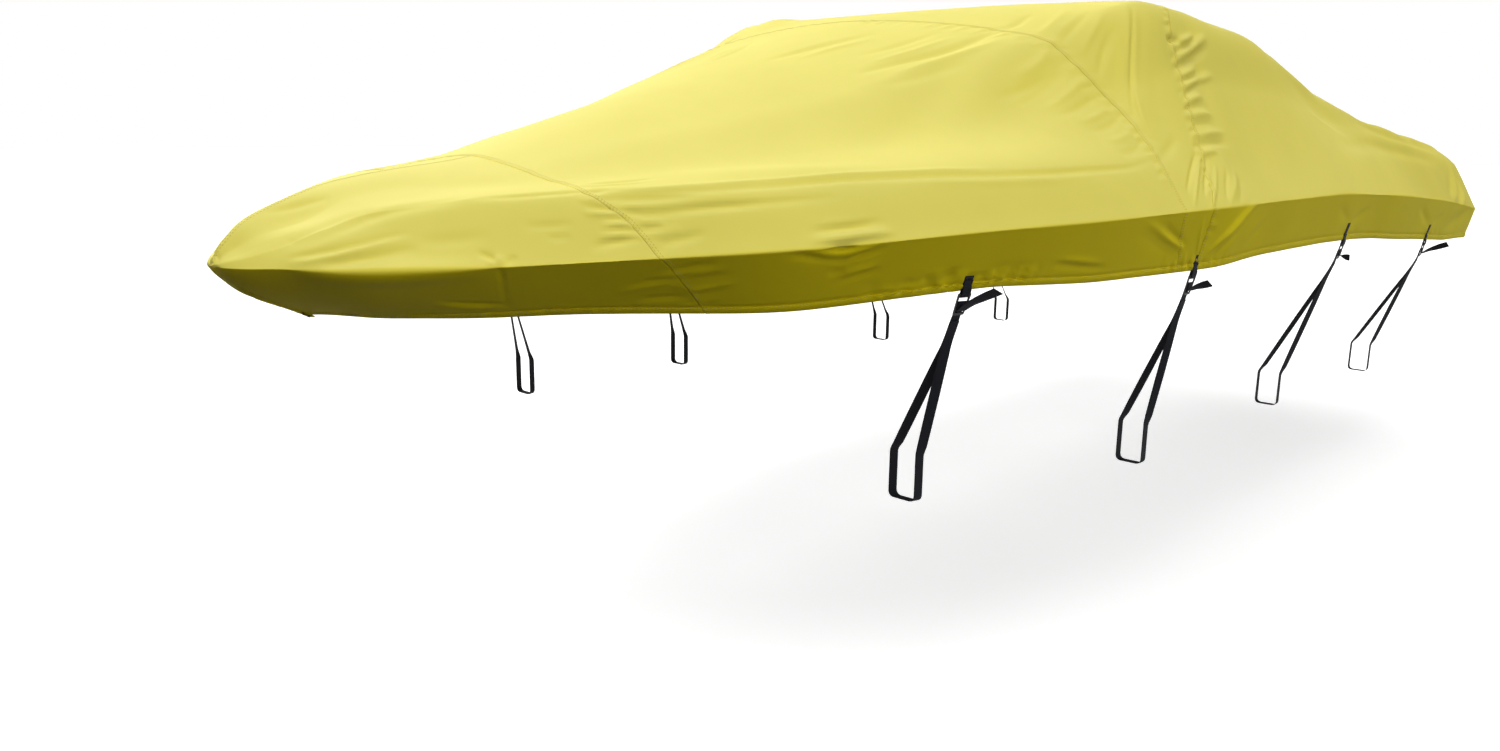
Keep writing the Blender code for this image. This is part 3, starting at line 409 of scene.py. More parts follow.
EDGE_PLACES = (0.982, 0.988, 0.993, 0.997, 1.0, 1.015, 1.035, 1.06, 1.09)
SKIRT_BAND = Band(1.13, 1.86, 0.118)
HEM_PLACES = (1.86, 1.875, 1.885, 1.893, 1.90, 1.91, 1.93, 1.955, 1.975, 1.99, 2.0)
CLOTH_WELD = 0.00008     # points nearer than this become one
SLIVER = 0.00003         # and edges shorter than this go
EDGE_PROBE = 0.004       # each way along the hard edge, to tell its direction
PROBE_AFT = 0.01         # each way along the cloth, to tell how it faces
PROBE_ACROSS = 0.02

# ---------------------------------------------------------------- colours of the cloth
# Painted shade: the level top has the cloth's own colour, while steep cloth, the stern's top and the skirt
# take deeper, more saturated colours in place of the shade that falls on them.
LEVEL_COLOUR = (0.88, 0.795, 0.214)
# painted shade on steep cloth
STEEP_SHADE_COLOUR = (0.88, 0.778, 0.140)
# painted shade on the top towards the stern, which slopes away from the light
STERN_SHADE_COLOUR = (0.745, 0.655, 0.106)
# painted shade on the skirt, more saturated at the bow, where it tucks further under, than at the stern
SKIRT_BOW_SHADE_COLOUR = (0.88, 0.715, 0.004)
SKIRT_STERN_SHADE_COLOUR = (0.87, 0.738, 0.036)
STEEP_RANGE = 0.55       # cloth counts as wholly steep when its normal's rise is 1 less this
STERNWARD_FROM = -1.2    # where the painted shade's colours start to change, in the part's frame, and over what length
STERNWARD_RUN = 3.4
STERN_SHADE_FROM = 0.76   # of that length
SKIRT_FROM = 0.992       # across; the top's colour gives way to the skirt's painted shade from here
SKIRT_BLEND = 0.016
CLOTH_THREADS = 1400.0   # to the metre
WAVES_AT_SCALE_1 = 3.1831   # to the metre, of a wave texture

# ---------------------------------------------------------------- straps, as in the CAD
# The tails' turns are this script's own.
Strap = namedtuple("Strap", "aft tab_top tab_length bar_out bar_top bar_under tail_out tail_up tail_turn")
STRAPS = (
    Strap(1.258, 0.74, 0.042, 0.815, -0.490, -0.592, 0.095, 0.055, 40),
    Strap(2.133, 0.74, 0.056, 0.985, -0.540, -0.640, 0.055, 0.026, 50),
    Strap(3.380, 0.62, 0.072, 0.925, -0.590, -0.690, 0.034, -0.004, 62),
    Strap(4.456, 0.62, 0.078, 0.930, -0.620, -0.720, 0.092, 0.046, 60),
)
WEBBING_WIDTH = 0.025
WEBBING_THICK = 0.002
WEB_SHOWN = 0.0017       # the dressed webbing's thickness, a little under the solid's
WEB_STEP = 0.006         # between its cross-sections
WEB_MOST_STEPS = 12      # in one stretch of a route
# Its round-edged cross-section as (along, through), from -1 to 1 each way.
WEB_SECTION = ((-1.0, 0.0), (-0.985, 0.62), (-0.93, 0.93), (-0.5, 1.0), (0.5, 1.0), (0.93, 0.93),
               (0.985, 0.62), (1.0, 0.0), (0.985, -0.62), (0.93, -0.93), (0.5, -1.0), (-0.5, -1.0),
               (-0.93, -0.93), (-0.985, -0.62))
TOUCH_GAP = 0.0004       # between pieces that lie on each other
BAR_WIDTH = 0.075        # of each strap's loop
LOOP_CORNER = 0.014      # its radius at the lower corners
TAB_LIFT = 0.0018        # the tab's middle off the skirt's outer face
TAB_ANGLES = (-55, -20, 20, 55)       # round the buckle's top bar, in degrees
TAB_BACK_AT_BAR = (0.0, 0.012)        # then back up, this far above the bar's middle
TAB_BACK_ON_TAB = (0.022, 0.036)      # and here closed against the tab
BUCKLE_HEAD = 0.038      # width at its upper end
BUCKLE_FOOT = 0.031      # width at its lower end
BUCKLE_THICK = 0.004
BUCKLE_BAR = 0.007       # height of each of its three bars
BUCKLE_WINDOW = 0.018
BUCKLE_SLOT = 0.027      # clear width of the windows
BUCKLE_TALL = 3 * BUCKLE_BAR + 2 * BUCKLE_WINDOW
BUCKLE_CUT = 0.005       # its corners are rounded from this far
WINDOW_CUT = 0.0022
BUCKLE_ROUND = 0.0009    # radius of its moulded edges
BUCKLE_WELD = 0.00005
BAR_TURN = BUCKLE_THICK / 2 + TOUCH_GAP + WEBBING_THICK / 2   # radius of webbing round one of its bars
STRAP_ANGLES = (60, 20, -20, -60)     # round the buckle's middle bar
BAR_CLEAR = 0.002        # below the middle bar, where the strap straightens
FOOT_CLEAR = 0.004       # below the buckle, where it leaves it
EXIT_UP = 0.006          # above the lower bar, where the tail leaves
EXIT_OUT = 0.001
TAIL_SHARES = (1.0, 0.75, 0.5, 0.25)
TAIL_BEND = 0.8          # below 1 the tail rises early
TAIL_TURN_RATE = 1.5     # it is fully turned by 1 over this of its length
FORK_DROP = 0.075        # the two strands lie together this far below the buckle
LEG_FOOT_UP = 0.010      # each leg ends this far above the loop's bar
END_DROP = 0.012         # below the buckle, where the strand that comes back ends
LEG_TWIST = -27          # degrees that each leg is turned on its way down
FORK_TURN = 0.6          # and its share at the fork
LEG_TURNS = ((0.10, 0.72), (0.25, 0.9), (0.50, 1.0), (0.75, 0.9), (0.90, 0.72))   # (place, share of the turn)
BOX_INSET = 0.003        # the stitched box on the tab, from the tab's edges
BOX_TALL = 0.024
BOX_SHARE = 0.6          # of the tab's length, at most
BOX_LIFT = 0.0009
TAB_STITCH_PITCH = 0.0034
TAB_STITCH_LONG = 0.0025
TAB_STITCH_THICK = 0.0008

# ---------------------------------------------------------------- studio and camera
BOW_HEIGHT = 1.13        # of the bow tip's hard edge above the ground, in use
FLOOR_HALF = 60.0
FLOOR_GLOW = 0.55        # keeps the shadow on the floor pale

# Each soft light stands this many degrees up, and this many round from the bow by way of the port side.
Light = namedtuple("Light", "name strength up round")
LIGHTS = (
    Light("over_bow", 1.60, 60, 0),
    Light("over_port", 0.69, 60, 90),
    Light("far_side", 2.41, 30, 270),
    Light("low_port", 1.22, 5, 90),
)
LIGHT_SPREAD = 40        # degrees across

# Where the photograph was taken from, worked out from it: the camera's place beside the bow, its turns
# and its focal length in pixels of the 1500 px wide frame.
FRAME_WIDE = 1500
FOCAL_PX = 1137.1
CAMERA_AFT = -0.889
CAMERA_OUT = 2.315
CAMERA_UP = 0.283
CAMERA_YAW = 43.514
CAMERA_PITCH = 12.316
CAMERA_ROLL = 0.66
SENSOR = 36.0
CLIP_END = 200.0


# ================================================================ shape
def steepness(knots, values):
    """Slopes for a cubic through the values that never overshoots them."""
    steps = np.diff(knots)[:, None]
    rates = np.diff(values, axis=0) / steps
    slopes = np.zeros_like(values)
    slopes[0] = rates[0]
    slopes[-1] = rates[-1]
    before, after = rates[:-1], rates[1:]
    near = 2 * steps[1:] + steps[:-1]
    far = steps[1:] + 2 * steps[:-1]
    same_way = before * after > 0
    safe_before = np.where(same_way, before, 1.0)
    safe_after = np.where(same_way, after, 1.0)
    slopes[1:-1] = np.where(same_way, (near + far) / (near / safe_before + far / safe_after), 0.0)
    return slopes


def smooth(knots, values, at, level_start=False):
    """Cubic through values at knots, read at the given places; values may have a column for each place."""
    knots = np.asarray(knots, float)
    at = np.asarray(at, float)
    values = np.asarray(values, float).reshape(len(knots), -1)
    slopes = steepness(knots, values)
    if level_start:
        slopes[0] = 0.0
    values = np.broadcast_to(values, (len(knots), at.size))
    slopes = np.broadcast_to(slopes, (len(knots), at.size))
    left = np.clip(np.searchsorted(knots, at, side="right") - 1, 0, len(knots) - 2)
    column = np.arange(at.size)
    step = knots[left + 1] - knots[left]
    t = (at - knots[left]) / step
    return ((1 + 2 * t) * (1 - t) ** 2 * values[left, column]
            + t * (1 - t) ** 2 * step * slopes[left, column]
            + t * t * (3 - 2 * t) * values[left + 1, column]
            + t * t * (t - 1) * step * slopes[left + 1, column])


def station(name, aft):
    """A column of STATIONS read at any distance aft; the square root keeps the bow round in plan."""
    knots = [math.sqrt(row.aft) for row in STATIONS]
    values = [getattr(row, name) for row in STATIONS]
    return smooth(knots, values, np.sqrt(np.clip(aft, 0.0, LENGTH)))


def hard_edge(aft):
    """Half-width and height of the hard edge, with the stern's corners rounded."""
    past = np.clip((aft - LENGTH + STERN_CORNER) / STERN_CORNER, 0.0, 1.0)
    beam = station("beam", aft) - STERN_CORNER * (1 - np.sqrt(1 - past ** 2))
    return beam, station("edge", aft)


def deck(aft, across):
    """Points of the top, from the centreline (0) to the hard edge (1), as aft, out, up."""
    beam, edge = hard_edge(aft)
    crease_out = beam - station("crease_in", aft)
    crease_up = edge + station("crease_up", aft)
    shoulder_out = np.minimum(station("shoulder_out", aft), SHOULDER_LIMIT * crease_out)
    shoulder_up = station("shoulder_up", aft)
    flank_out = (shoulder_out + crease_out) / 2
    flank_up = (shoulder_up + crease_up) / 2 - station("sag", aft)
    ridge = station("ridge", aft)
    out = smooth(ACROSS_KNOTS, np.stack([0 * beam, shoulder_out, flank_out, crease_out, beam]), across)
    up = smooth(ACROSS_KNOTS, np.stack([ridge, shoulder_up, flank_up, crease_up, edge]), across, True)
    past = np.clip((aft - LENGTH + STERN_ROLL) / STERN_ROLL, 0.0, 1.0)
    turned = (1 - past ** ROLL_ENTRY) ** ROLL_EXIT
    return np.stack([aft, out, edge + (up - edge) * turned], -1)


def edge_line(along):
    """The hard edge: down the side for the first LENGTH, then across the stern to its middle."""
    aft = np.clip(along, 0.0, LENGTH)
    beam, edge = hard_edge(aft)
    return np.stack([aft, beam - np.maximum(along - LENGTH, 0.0), edge], -1)


def skirt(along, down):
    """Points of the skirt below the hard edge, from the edge (0) to the hem (1)."""
    run = edge_line(along + EDGE_PROBE) - edge_line(np.maximum(along - EDGE_PROBE, 0.0))
    inward = np.stack([run[:, 1], -run[:, 0]], -1)
    inward /= np.linalg.norm(inward, axis=1, keepdims=True)
    inward[along <= 0.0] = (1.0, 0.0)
    aft = np.clip(along, 0.0, LENGTH)
    points = edge_line(along)
    tuck = down - station("skirt_belly", aft) * 4 * down * (1 - down)
    points[:, :2] += inward * (station("skirt_tuck", aft) * tuck)[:, None]
    points[:, 2] -= station("skirt_drop", aft) * down
    return points


def plain_cloth(aft, across):
    """Points of one side of the cover with no folds, for any place across from centreline to hem."""
    points = deck(aft, np.minimum(across, 1.0))
    below = across > 1.0
    if below.any():
        points[below] = skirt(aft[below], across[below] - 1.0)
    return points


MOUNT_UP = float(station("ridge", np.array([MOUNT_AFT]))[0]) - CAD_SHEET


def to_part(points, side):
    """From the cover's own measures to the part's frame: port is -Y."""
    points = np.asarray(points, float)
    return np.stack([points[..., 0] - MOUNT_AFT, side * points[..., 1], points[..., 2] - MOUNT_UP], -1)


def seam_line(seam, across):
    """How far aft a seam lies at each place across."""
    return smooth([row.across for row in seam], [row.aft for row in seam], np.asarray(across, float))


def path_points(path, side, step=0.05):
    """A fold's path on the plain cloth, in the part's frame, with a point about every step."""
    path = np.asarray(path, float)
    ends = to_part(plain_cloth(path[:, 0], path[:, 1]), side)
    lengths = np.linalg.norm(np.diff(ends, axis=0), axis=1)
    knots = np.concatenate([[0.0], np.cumsum(lengths)])
    count = max(3, int(math.ceil(knots[-1] / step)) + 1)
    at = np.linspace(0.0, knots[-1], count)
    aft = smooth(knots, path[:, 0], at)
    across = smooth(knots, path[:, 1], at)
    return to_part(plain_cloth(aft, across), side)


def seam_gathers(row, rng):
    """Troughs and ridges in turn, down one side of a seam."""
    seam = SEAMS[row.seam]
    places = np.linspace(row.start, row.end, 200)
    line = plain_cloth(seam_line(seam, places), places)
    run = np.concatenate([[0.0], np.cumsum(np.linalg.norm(np.diff(line, axis=0), axis=1))])
    made = []
    at = FIRST_GATHER * row.spacing
    while at < run[-1]:
        across = float(np.interp(at, run, places))
        aft = float(seam_line(seam, np.array([across]))[0])
        reach = row.reach * rng.uniform(*REACH_VARIES)
        rise = row.rise * rng.uniform(*RISE_VARIES) * (1 if len(made) % 2 else -1)
        lean = row.lean + rng.normal(0.0, LEAN_VARIES)
        path = ((aft - GATHER_OVERLAP * row.side, across),
                (aft + row.side * reach * 0.45, across + lean * reach * 0.5),
                (aft + row.side * reach, across + lean * reach))
        made.append(Fold(path, row.half_width * rng.uniform(*WIDTH_VARIES), rise))
        at += row.spacing / 2 * rng.uniform(*SPACING_VARIES)
    return made


def hem_gathers(row, rng):
    """Troughs and ridges in turn, upright along the hem and fading to both ends."""
    made = []
    at = row.start
    while at < row.end:
        fade = math.sin(math.pi * (at - row.start) / (row.end - row.start)) ** 0.5
        reach = row.reach * rng.uniform(*HEM_REACH_VARIES)
        slant = rng.normal(0.0, HEM_SLANT_VARIES)
        rise = row.rise * fade * rng.uniform(*HEM_RISE_VARIES) * (1 if len(made) % 2 else -1)
        path = ((at, HEM_GATHER_FOOT), (at + slant * 0.5, 2.0 - reach * 0.5), (at + slant, 2.0 - reach))
        made.append(Fold(path, HEM_GATHER_WIDTH * rng.uniform(*HEM_WIDTH_VARIES), rise))
        at += row.spacing / 2 * rng.uniform(*SPACING_VARIES)
    return made


def gather_folds(side):
    """The short folds along each gathered line, a little uneven, and not the same on the two sides."""
    rng = np.random.default_rng(GATHER_SEED + side)
    made = []
    for row in GATHERS:
        made += seam_gathers(row, rng)
    for row in HEM_GATHERS:
        made += hem_gathers(row, rng)
    return made


def clamp_place(path):
    """A fold's path kept on the cloth."""
    least_aft, most_aft, most_across = FOLD_LIMITS
    return tuple((min(max(aft, least_aft), most_aft), min(across, most_across)) for aft, across in path)


def lift_by(points, fold, line):
    """How far one fold, whose path on the plain cloth is line, lifts each point."""
    best = np.full(len(points), 1e9)
    where = np.zeros(len(points))
    for index, (start, end) in enumerate(zip(line, line[1:])):
        run = end - start
        t = np.clip((points - start) @ run / max(run @ run, 1e-12), 0.0, 1.0)
        away = np.linalg.norm(points - start - t[:, None] * run, axis=1)
        closer = away < best
        best[closer] = away[closer]
        where[closer] = (index + t[closer]) / (len(line) - 1)
    ease = np.clip(4 * where * (1 - where), 0.0, 1.0)
    return fold.rise * ease * np.exp(-(best / fold.half_width) ** 2)


def drift(points):
    """A slow unevenness of about a millimetre, so that no stretch of cloth is perfectly true."""
    rng = np.random.default_rng(DRIFT_SEED)
    rise = np.zeros(len(points))
    for _ in range(DRIFT_WAVES):
        long = rng.uniform(*DRIFT_LENGTHS)
        turn = rng.normal(0.0, DRIFT_TURN_VARIES)
        slope = rng.normal(0.0, DRIFT_SLOPE_VARIES)
        wave = np.array([math.cos(turn), math.sin(turn) * DRIFT_ASIDE, slope]) * 2 * math.pi / long
        start = rng.uniform(0, DRIFT_START)
        rise += np.sin(points @ wave + start) * DRIFT_RISE * (long / DRIFT_LENGTH)
    return rise


PLACED_FOLDS = [(fold, path_points(clamp_place(fold.path), side)) for side in (PORT, STARBOARD)
                for fold in (*BROAD_FOLDS, *FINE_FOLDS, *gather_folds(side))]
PLACED_FOLDS += [(fold, path_points(fold.path, STARBOARD)) for fold in FAR_FOLDS]


def relief(points):
    """How far the folds lift each point of the plain cloth."""
    order = np.argsort(points[:, 0])
    sorted_points = points[order]
    rise = drift(sorted_points)
    for fold, line in PLACED_FOLDS:
        reach = FOLD_REACH * fold.half_width
        low, high = line.min(axis=0) - reach, line.max(axis=0) + reach
        first, last = np.searchsorted(sorted_points[:, 0], (low[0], high[0]))
        band = sorted_points[first:last, 1:]
        near = first + np.flatnonzero(((band > low[1:]) & (band < high[1:])).all(axis=1))
        if len(near):
            rise[near] += lift_by(sorted_points[near], fold, line)
    made = np.empty(len(points))
    made[order] = rise
    aft = points[:, 0] + MOUNT_AFT
    return made * np.clip(aft / TIP_CALM, 0.0, 1.0) ** 1.5


# ================================================================ panels
def rows_along(plan):
    """Row places as shares of a panel's length: closest at its ends, where the seams are."""
    def ramp(band):
        """Places from one end, a fine step apart for the band and then growing to a coarse one."""
        places, step = list(ROW_STARTS), plan.fine
        while places[-1] < band:
            places.append(places[-1] + step)
        while step < plan.coarse:
            step *= ROW_GROWTH
            places.append(places[-1] + min(step, plan.coarse))
        return np.array(places)

    head, tail = ramp(plan.first_band), ramp(plan.last_band)
    end = plan.length - tail[-1]
    steps = max(2, int(round((plan.length - head[-1] - tail[-1]) / plan.coarse)))
    middle = np.linspace(head[-1], end, steps + 1)[1:-1]
    return np.concatenate([head, middle, (plan.length - tail)[::-1]]) / plan.length


def across_places(step):
    """Places across from the centreline to the hem, closer at the hard edge and at the hem."""
    def spread(band):
        """Even places from a band's start to just before its end."""
        return np.linspace(band.start, band.end, int(round(band.width / step)), endpoint=False)

    top = [spread(band) for band in TOP_BANDS]
    return np.concatenate([*top, EDGE_PLACES, spread(SKIRT_BAND), HEM_PLACES])


def full_width(step):
    """Places from port hem (-2) to starboard hem (2)."""
    half = across_places(step)
    return np.concatenate([-half[:0:-1], half])


def grid_normals(grid):
    """Unit normals of a grid of points, looking up and out."""
    normals = np.cross(np.gradient(grid, axis=0), np.gradient(grid, axis=1))
    normals /= np.maximum(np.linalg.norm(normals, axis=2, keepdims=True), 1e-12)
    return -normals if normals[..., 2].sum() < 0 else normals


def run_lengths(grid, axis):
    """Distance from the first row (axis 0) or column (axis 1) to each point, measured on the cloth."""
    total = np.cumsum(np.linalg.norm(np.diff(grid, axis=axis), axis=2), axis=axis)
    return np.concatenate([np.zeros_like(np.take(total, [0], axis=axis)), total], axis=axis)


def swelling(distance, row):
    """A soft ridge or groove that runs beside an edge."""
    return row.rise * np.exp(-((distance - row.place) / row.width) ** 2)


def turn_down(distance):
    """The edge of a panel turned down into its seam."""
    return swelling(distance, SEAM_EDGE)


def lap(distance):
    """The folded edge of the panel that lies on top of the seam."""
    return LAP_RISE * (0.5 - 0.5 * np.tanh((distance - LAP_WIDTH) / LAP_END))


def stitch_pull(distance):
    """Each line of a seam's stitching sinks a little into the cloth."""
    return sum(swelling(distance, Swell(row, STITCH_SINK_WIDTH, -STITCH_SINK)) for row in SEAM_ROWS)


def hem_profile(distance):
    """The doubled hem: a soft roll below the line of stitching that holds it."""
    roll = np.clip(1 - distance / HEM_WIDTH, 0.0, 1.0)
    return HEM_RISE * np.sin(np.pi * roll) ** HEM_FULLNESS + swelling(distance, HEM_LINE)


def turn_hem(grid, normals, column, inner):
    """The hem of one side turned up inside, as three more columns."""
    edge, normal = grid[:, column], normals[:, column]
    inward = grid[:, inner] - edge
    inward /= np.maximum(np.linalg.norm(inward, axis=1, keepdims=True), 1e-9)
    return [edge + inward * step - normal * depth for step, depth in HEM_TURN]


# grid is the cloth that shows and full is the whole piece, with what is turned in at its hems and seams.
Cloth = namedtuple("Cloth", "grid normals from_front from_hem from_left full")


def dress(grid, lapped, flap_rows, both_hems=True, middle_lap=False, front_depth=1.0, rear_depth=1.0):
    """The plain grid with its folds, seams and hems.

    The last flap_rows rows run under the next panel. Without both_hems the first column is a seam down
    the middle, and middle_lap says whether this piece lies on top there. The two depths say, column by
    column, how plainly the front and the rear seam show.
    """
    normals = grid_normals(grid)
    from_front, from_left = run_lengths(grid, 0), run_lengths(grid, 1)
    rise = relief(grid.reshape(-1, 3)).reshape(grid.shape[:2])
    if flap_rows:
        to_seam = from_front[-1 - flap_rows] - from_front
        rise += np.where(to_seam >= 0.0, turn_down(to_seam) * rear_depth, SEAM_EDGE.rise)
        rise[-flap_rows:] -= FLAP_DEPTH + SEAM_EDGE.rise
    if lapped:
        sewn = turn_down(from_front) * LAP_DIP + lap(from_front) + stitch_pull(from_front)
        rise += sewn * front_depth
    from_hem = np.minimum(from_left[:, -1:] - from_left, 1.0)
    if both_hems:
        from_hem = np.minimum(from_hem, from_left)
    else:
        rise += turn_down(from_left) + sum(swelling(from_front, row) for row in STEM_BINDING)
        if middle_lap:
            rise += lap(from_left) + stitch_pull(from_left)
    rise += hem_profile(from_hem)
    made = grid + normals * rise[..., None]
    normals = grid_normals(made)
    columns = [*made.swapaxes(0, 1), *turn_hem(made, normals, -1, -1 - HEM_INNER)]
    front_normals = [*normals[0], *[normals[0, -1]] * len(HEM_TURN)]
    if both_hems:
        columns = turn_hem(made, normals, 0, HEM_INNER)[::-1] + columns
        front_normals = [normals[0, 0]] * len(HEM_TURN) + front_normals
    full = np.array(columns).swapaxes(0, 1)
    if lapped:
        full = np.concatenate([full[:1] - np.array(front_normals) * LIP, full])
    return Cloth(made, normals, from_front, from_hem, from_left, full)


def linked(name, mesh):
    """A smooth-shaded object of a mesh, in the scene."""
    mesh.shade_smooth()
    obj = bpy.data.objects.new(name, mesh)
    bpy.context.scene.collection.objects.link(obj)
    return obj


def closed(name, mesh, weld=0.0):
    """An object of a closed mesh, its faces turned outwards."""
    bm = bmesh.new()
    bm.from_mesh(mesh)
    if weld:
        bmesh.ops.remove_doubles(bm, verts=bm.verts, dist=weld)
    bmesh.ops.recalc_face_normals(bm, faces=bm.faces)
    bm.to_mesh(mesh)
    bm.free()
    return linked(name, mesh)


def grid_mesh(name, parts):
    """One mesh from grids of points, welded where they meet; parts holds (grid, share that is skirt)."""
    verts, faces, uvs, skirts, levels = [], [], [], [], []
    base = 0
    for grid, skirted in parts:
        rows, columns = grid.shape[:2]
        from_left = run_lengths(grid, 1)
        from_middle = from_left - from_left[:, [columns // 2]]
        verts.append(grid.reshape(-1, 3))
        uvs.append(np.stack([from_middle, run_lengths(grid, 0)], -1).reshape(-1, 2))
        skirts.append(skirted.reshape(-1))
        levels.append(grid_normals(grid)[..., 2].reshape(-1))
        corner = base + np.arange(rows - 1)[:, None] * columns + np.arange(columns - 1)
        ring = [corner, corner + 1, corner + columns + 1, corner + columns]
        faces.append(np.stack(ring, -1).reshape(-1, 4))
        base += rows * columns
    verts, faces, uvs = np.concatenate(verts), np.concatenate(faces), np.concatenate(uvs)
    mesh = bpy.data.meshes.new(name)
    mesh.from_pydata(verts.tolist(), [], faces.tolist())
    layer = mesh.uv_layers.new(name="cloth")
    loops = np.zeros(len(mesh.loops), int)
    mesh.loops.foreach_get("vertex_index", loops)
    layer.data.foreach_set("uv", uvs[loops].ravel())
    # masks for the cloth's painted shade: the skirt, steep cloth and the run towards the stern
    shares = {"skirt": np.concatenate(skirts),
              "steep": np.clip((1.0 - np.abs(np.concatenate(levels))) / STEEP_RANGE, 0.0, 1.0),
              "sternward": np.clip((verts[:, 0] - STERNWARD_FROM) / STERNWARD_RUN, 0.0, 1.0)}
    for label, share in shares.items():
        attribute = mesh.attributes.new(label, "FLOAT", "POINT")
        attribute.data.foreach_set("value", share.astype(np.float32))
    bm = bmesh.new()
    bm.from_mesh(mesh)
    bmesh.ops.remove_doubles(bm, verts=bm.verts, dist=CLOTH_WELD)
    bmesh.ops.dissolve_degenerate(bm, edges=bm.edges, dist=SLIVER)
    bm.normal_update()
    if sum(face.normal.z * face.calc_area() for face in bm.faces) < 0:
        bmesh.ops.reverse_faces(bm, faces=bm.faces)
    bm.to_mesh(mesh)
    bm.free()
    return linked(name, mesh)


def sided(points, places):
    """Points in the part's frame, to port where the place across is below 0."""
    return np.where((places < 0)[:, None], to_part(points, PORT), to_part(points, STARBOARD))


def plain_grid(places, first, last, fractions, flap=()):
    """Plain points between two lines across the cover, with rows for the flap beyond the second."""
    across = np.abs(places)
    start, end = first(across), last(across)
    lines = [start + (end - start) * fraction for fraction in fractions] + [end + step for step in flap]
    return np.array([sided(plain_cloth(line, across), places) for line in lines])


def skirt_share(places, rows, both_hems=True):
    """How far each point counts as skirt: 0 above the hard edge and 1 below it."""
    share = np.clip((np.abs(places) - SKIRT_FROM) / SKIRT_BLEND, 0.0, 1.0)
    hem = np.ones(len(HEM_TURN))
    return np.tile(np.concatenate([hem if both_hems else [], share, hem]), (rows, 1))


def to_bow(across):
    """The line across at the bow tip."""
    return 0.0 * across


def to_stern(across):
    """The line across at the stern."""
    return LENGTH + 0.0 * across


def before(seam):
    """The line just forward of a seam."""
    return lambda across: seam_line(seam, across) - SEAM_GAP / 2


def behind(seam):
    """The line just aft of a seam."""
    return lambda across: seam_line(seam, across) + SEAM_GAP / 2


def bow_cloth(side):
    """One half of the bow, sewn to the other down the centreline and the stem."""
    places = side * np.maximum(across_places(BOW_STEP), 1e-6)
    fractions = np.linspace(0.0, 1.0, BOW_ROWS) ** BOW_CROWDING
    tail = np.array(BOW_LAST_ROWS) / BOW_SEAM[0].aft
    fractions = np.concatenate([fractions[fractions < 1 - tail[0] * BOW_LAST_GAP], 1 - tail])
    grid = plain_grid(places, to_bow, before(BOW_SEAM), fractions, FLAP_STEPS)
    cloth = dress(grid, False, len(FLAP_STEPS), both_hems=False, middle_lap=side == PORT)
    turned_in = cloth.full[:, :1] - np.array((0.0, 0.0, MIDDLE_TURN))
    full = np.concatenate([turned_in, cloth.full], axis=1)
    full = np.concatenate([full[:1] + np.array((MIDDLE_TURN, 0.0, 0.0)), full])
    full[..., 1] = side * np.maximum(side * full[..., 1], SEAM_GAP / 2)
    full[0, :, 1] = side * MIDDLE_GAP
    full[:, 0, 1] = side * MIDDLE_GAP
    share = skirt_share(places, full.shape[0], both_hems=False)
    share = np.concatenate([share[:, :1], share], axis=1)
    return grid_mesh(f"bow_cloth_{SIDE_NAMES[side]}", [(full, share)]), cloth


def seam_depth(seam, places):
    """How plainly a seam shows at each place across; only the arched seam fades."""
    if seam is not SCREEN_SEAM:
        return 1.0
    shown = smooth([row.across for row in ARC_SHOWN], [row.share for row in ARC_SHOWN], np.abs(places))
    return ARC_FAINTEST + (1 - ARC_FAINTEST) * shown


def middle_cloth(name, front, rear, plan):
    """A panel that runs from hem to hem between two seams, lapped over the one before it."""
    places = full_width(MIDDLE_STEP)
    grid = plain_grid(places, behind(front), before(rear), rows_along(plan), FLAP_STEPS)
    cloth = dress(grid, True, len(FLAP_STEPS),
                  front_depth=seam_depth(front, places), rear_depth=seam_depth(rear, places))
    return grid_mesh(name, [(cloth.full, skirt_share(places, cloth.full.shape[0]))]), cloth


def stern_face(rear, last_row, places):
    """The skirt across the stern; rear is the plain last row and last_row the dressed one, with its hems."""
    top = np.flatnonzero(np.abs(places) <= 1.0)
    half_width = float(hard_edge(np.array([LENGTH]))[0][0])
    along = LENGTH + half_width - np.abs(rear[top, 1])
    halves = across_places(AFT_STEP)
    stern = np.array([sided(skirt(along, np.full(len(along), down)), places[top])
                      for down in halves[halves >= 1.0] - 1.0])
    normals = grid_normals(stern)
    if normals[..., 0].sum() < 0:
        normals = -normals
    from_top = run_lengths(stern, 0)
    from_hem = from_top[-1:] - from_top
    rise = relief(stern.reshape(-1, 3)).reshape(stern.shape[:2]) + hem_profile(from_hem)
    made = stern + normals * rise[..., None]
    left, right = (len(HEM_TURN) + top[end] for end in (0, -1))
    made[0] = last_row[left:right + 1]
    hem = turn_hem(made.swapaxes(0, 1), normals.swapaxes(0, 1), -1, -1 - HEM_INNER)
    full = np.concatenate([made, np.array(hem)])
    full[:, 0] = last_row[left::-1][:len(full)]
    full[:, -1] = last_row[right:][:len(full)]
    return Cloth(made, normals, from_top, from_hem, None, full)


def aft_cloth():
    """From the gathered seam to the stern, with the skirt carried round it."""
    places = full_width(AFT_STEP)
    body = rows_along(AFT_ROWS) * AFT_ROWS.length / AFT_LENGTH
    body = body[body < 1 - (STERN_CORNER + STERN_ROW_GAP) / AFT_LENGTH]
    corner = [1 - STERN_CORNER * (1 - math.sin(math.radians(angle))) / AFT_LENGTH for angle in STERN_ANGLES]
    grid = plain_grid(places, behind(GATHERED_SEAM), to_stern, np.concatenate([body, corner]))
    cloth = dress(grid, True, 0)
    stern = stern_face(grid[-1], cloth.full[-1], places)
    parts = [(cloth.full, skirt_share(places, cloth.full.shape[0])),
             (stern.full, np.ones(stern.full.shape[:2]))]
    return grid_mesh("aft_cloth", parts), cloth, stern


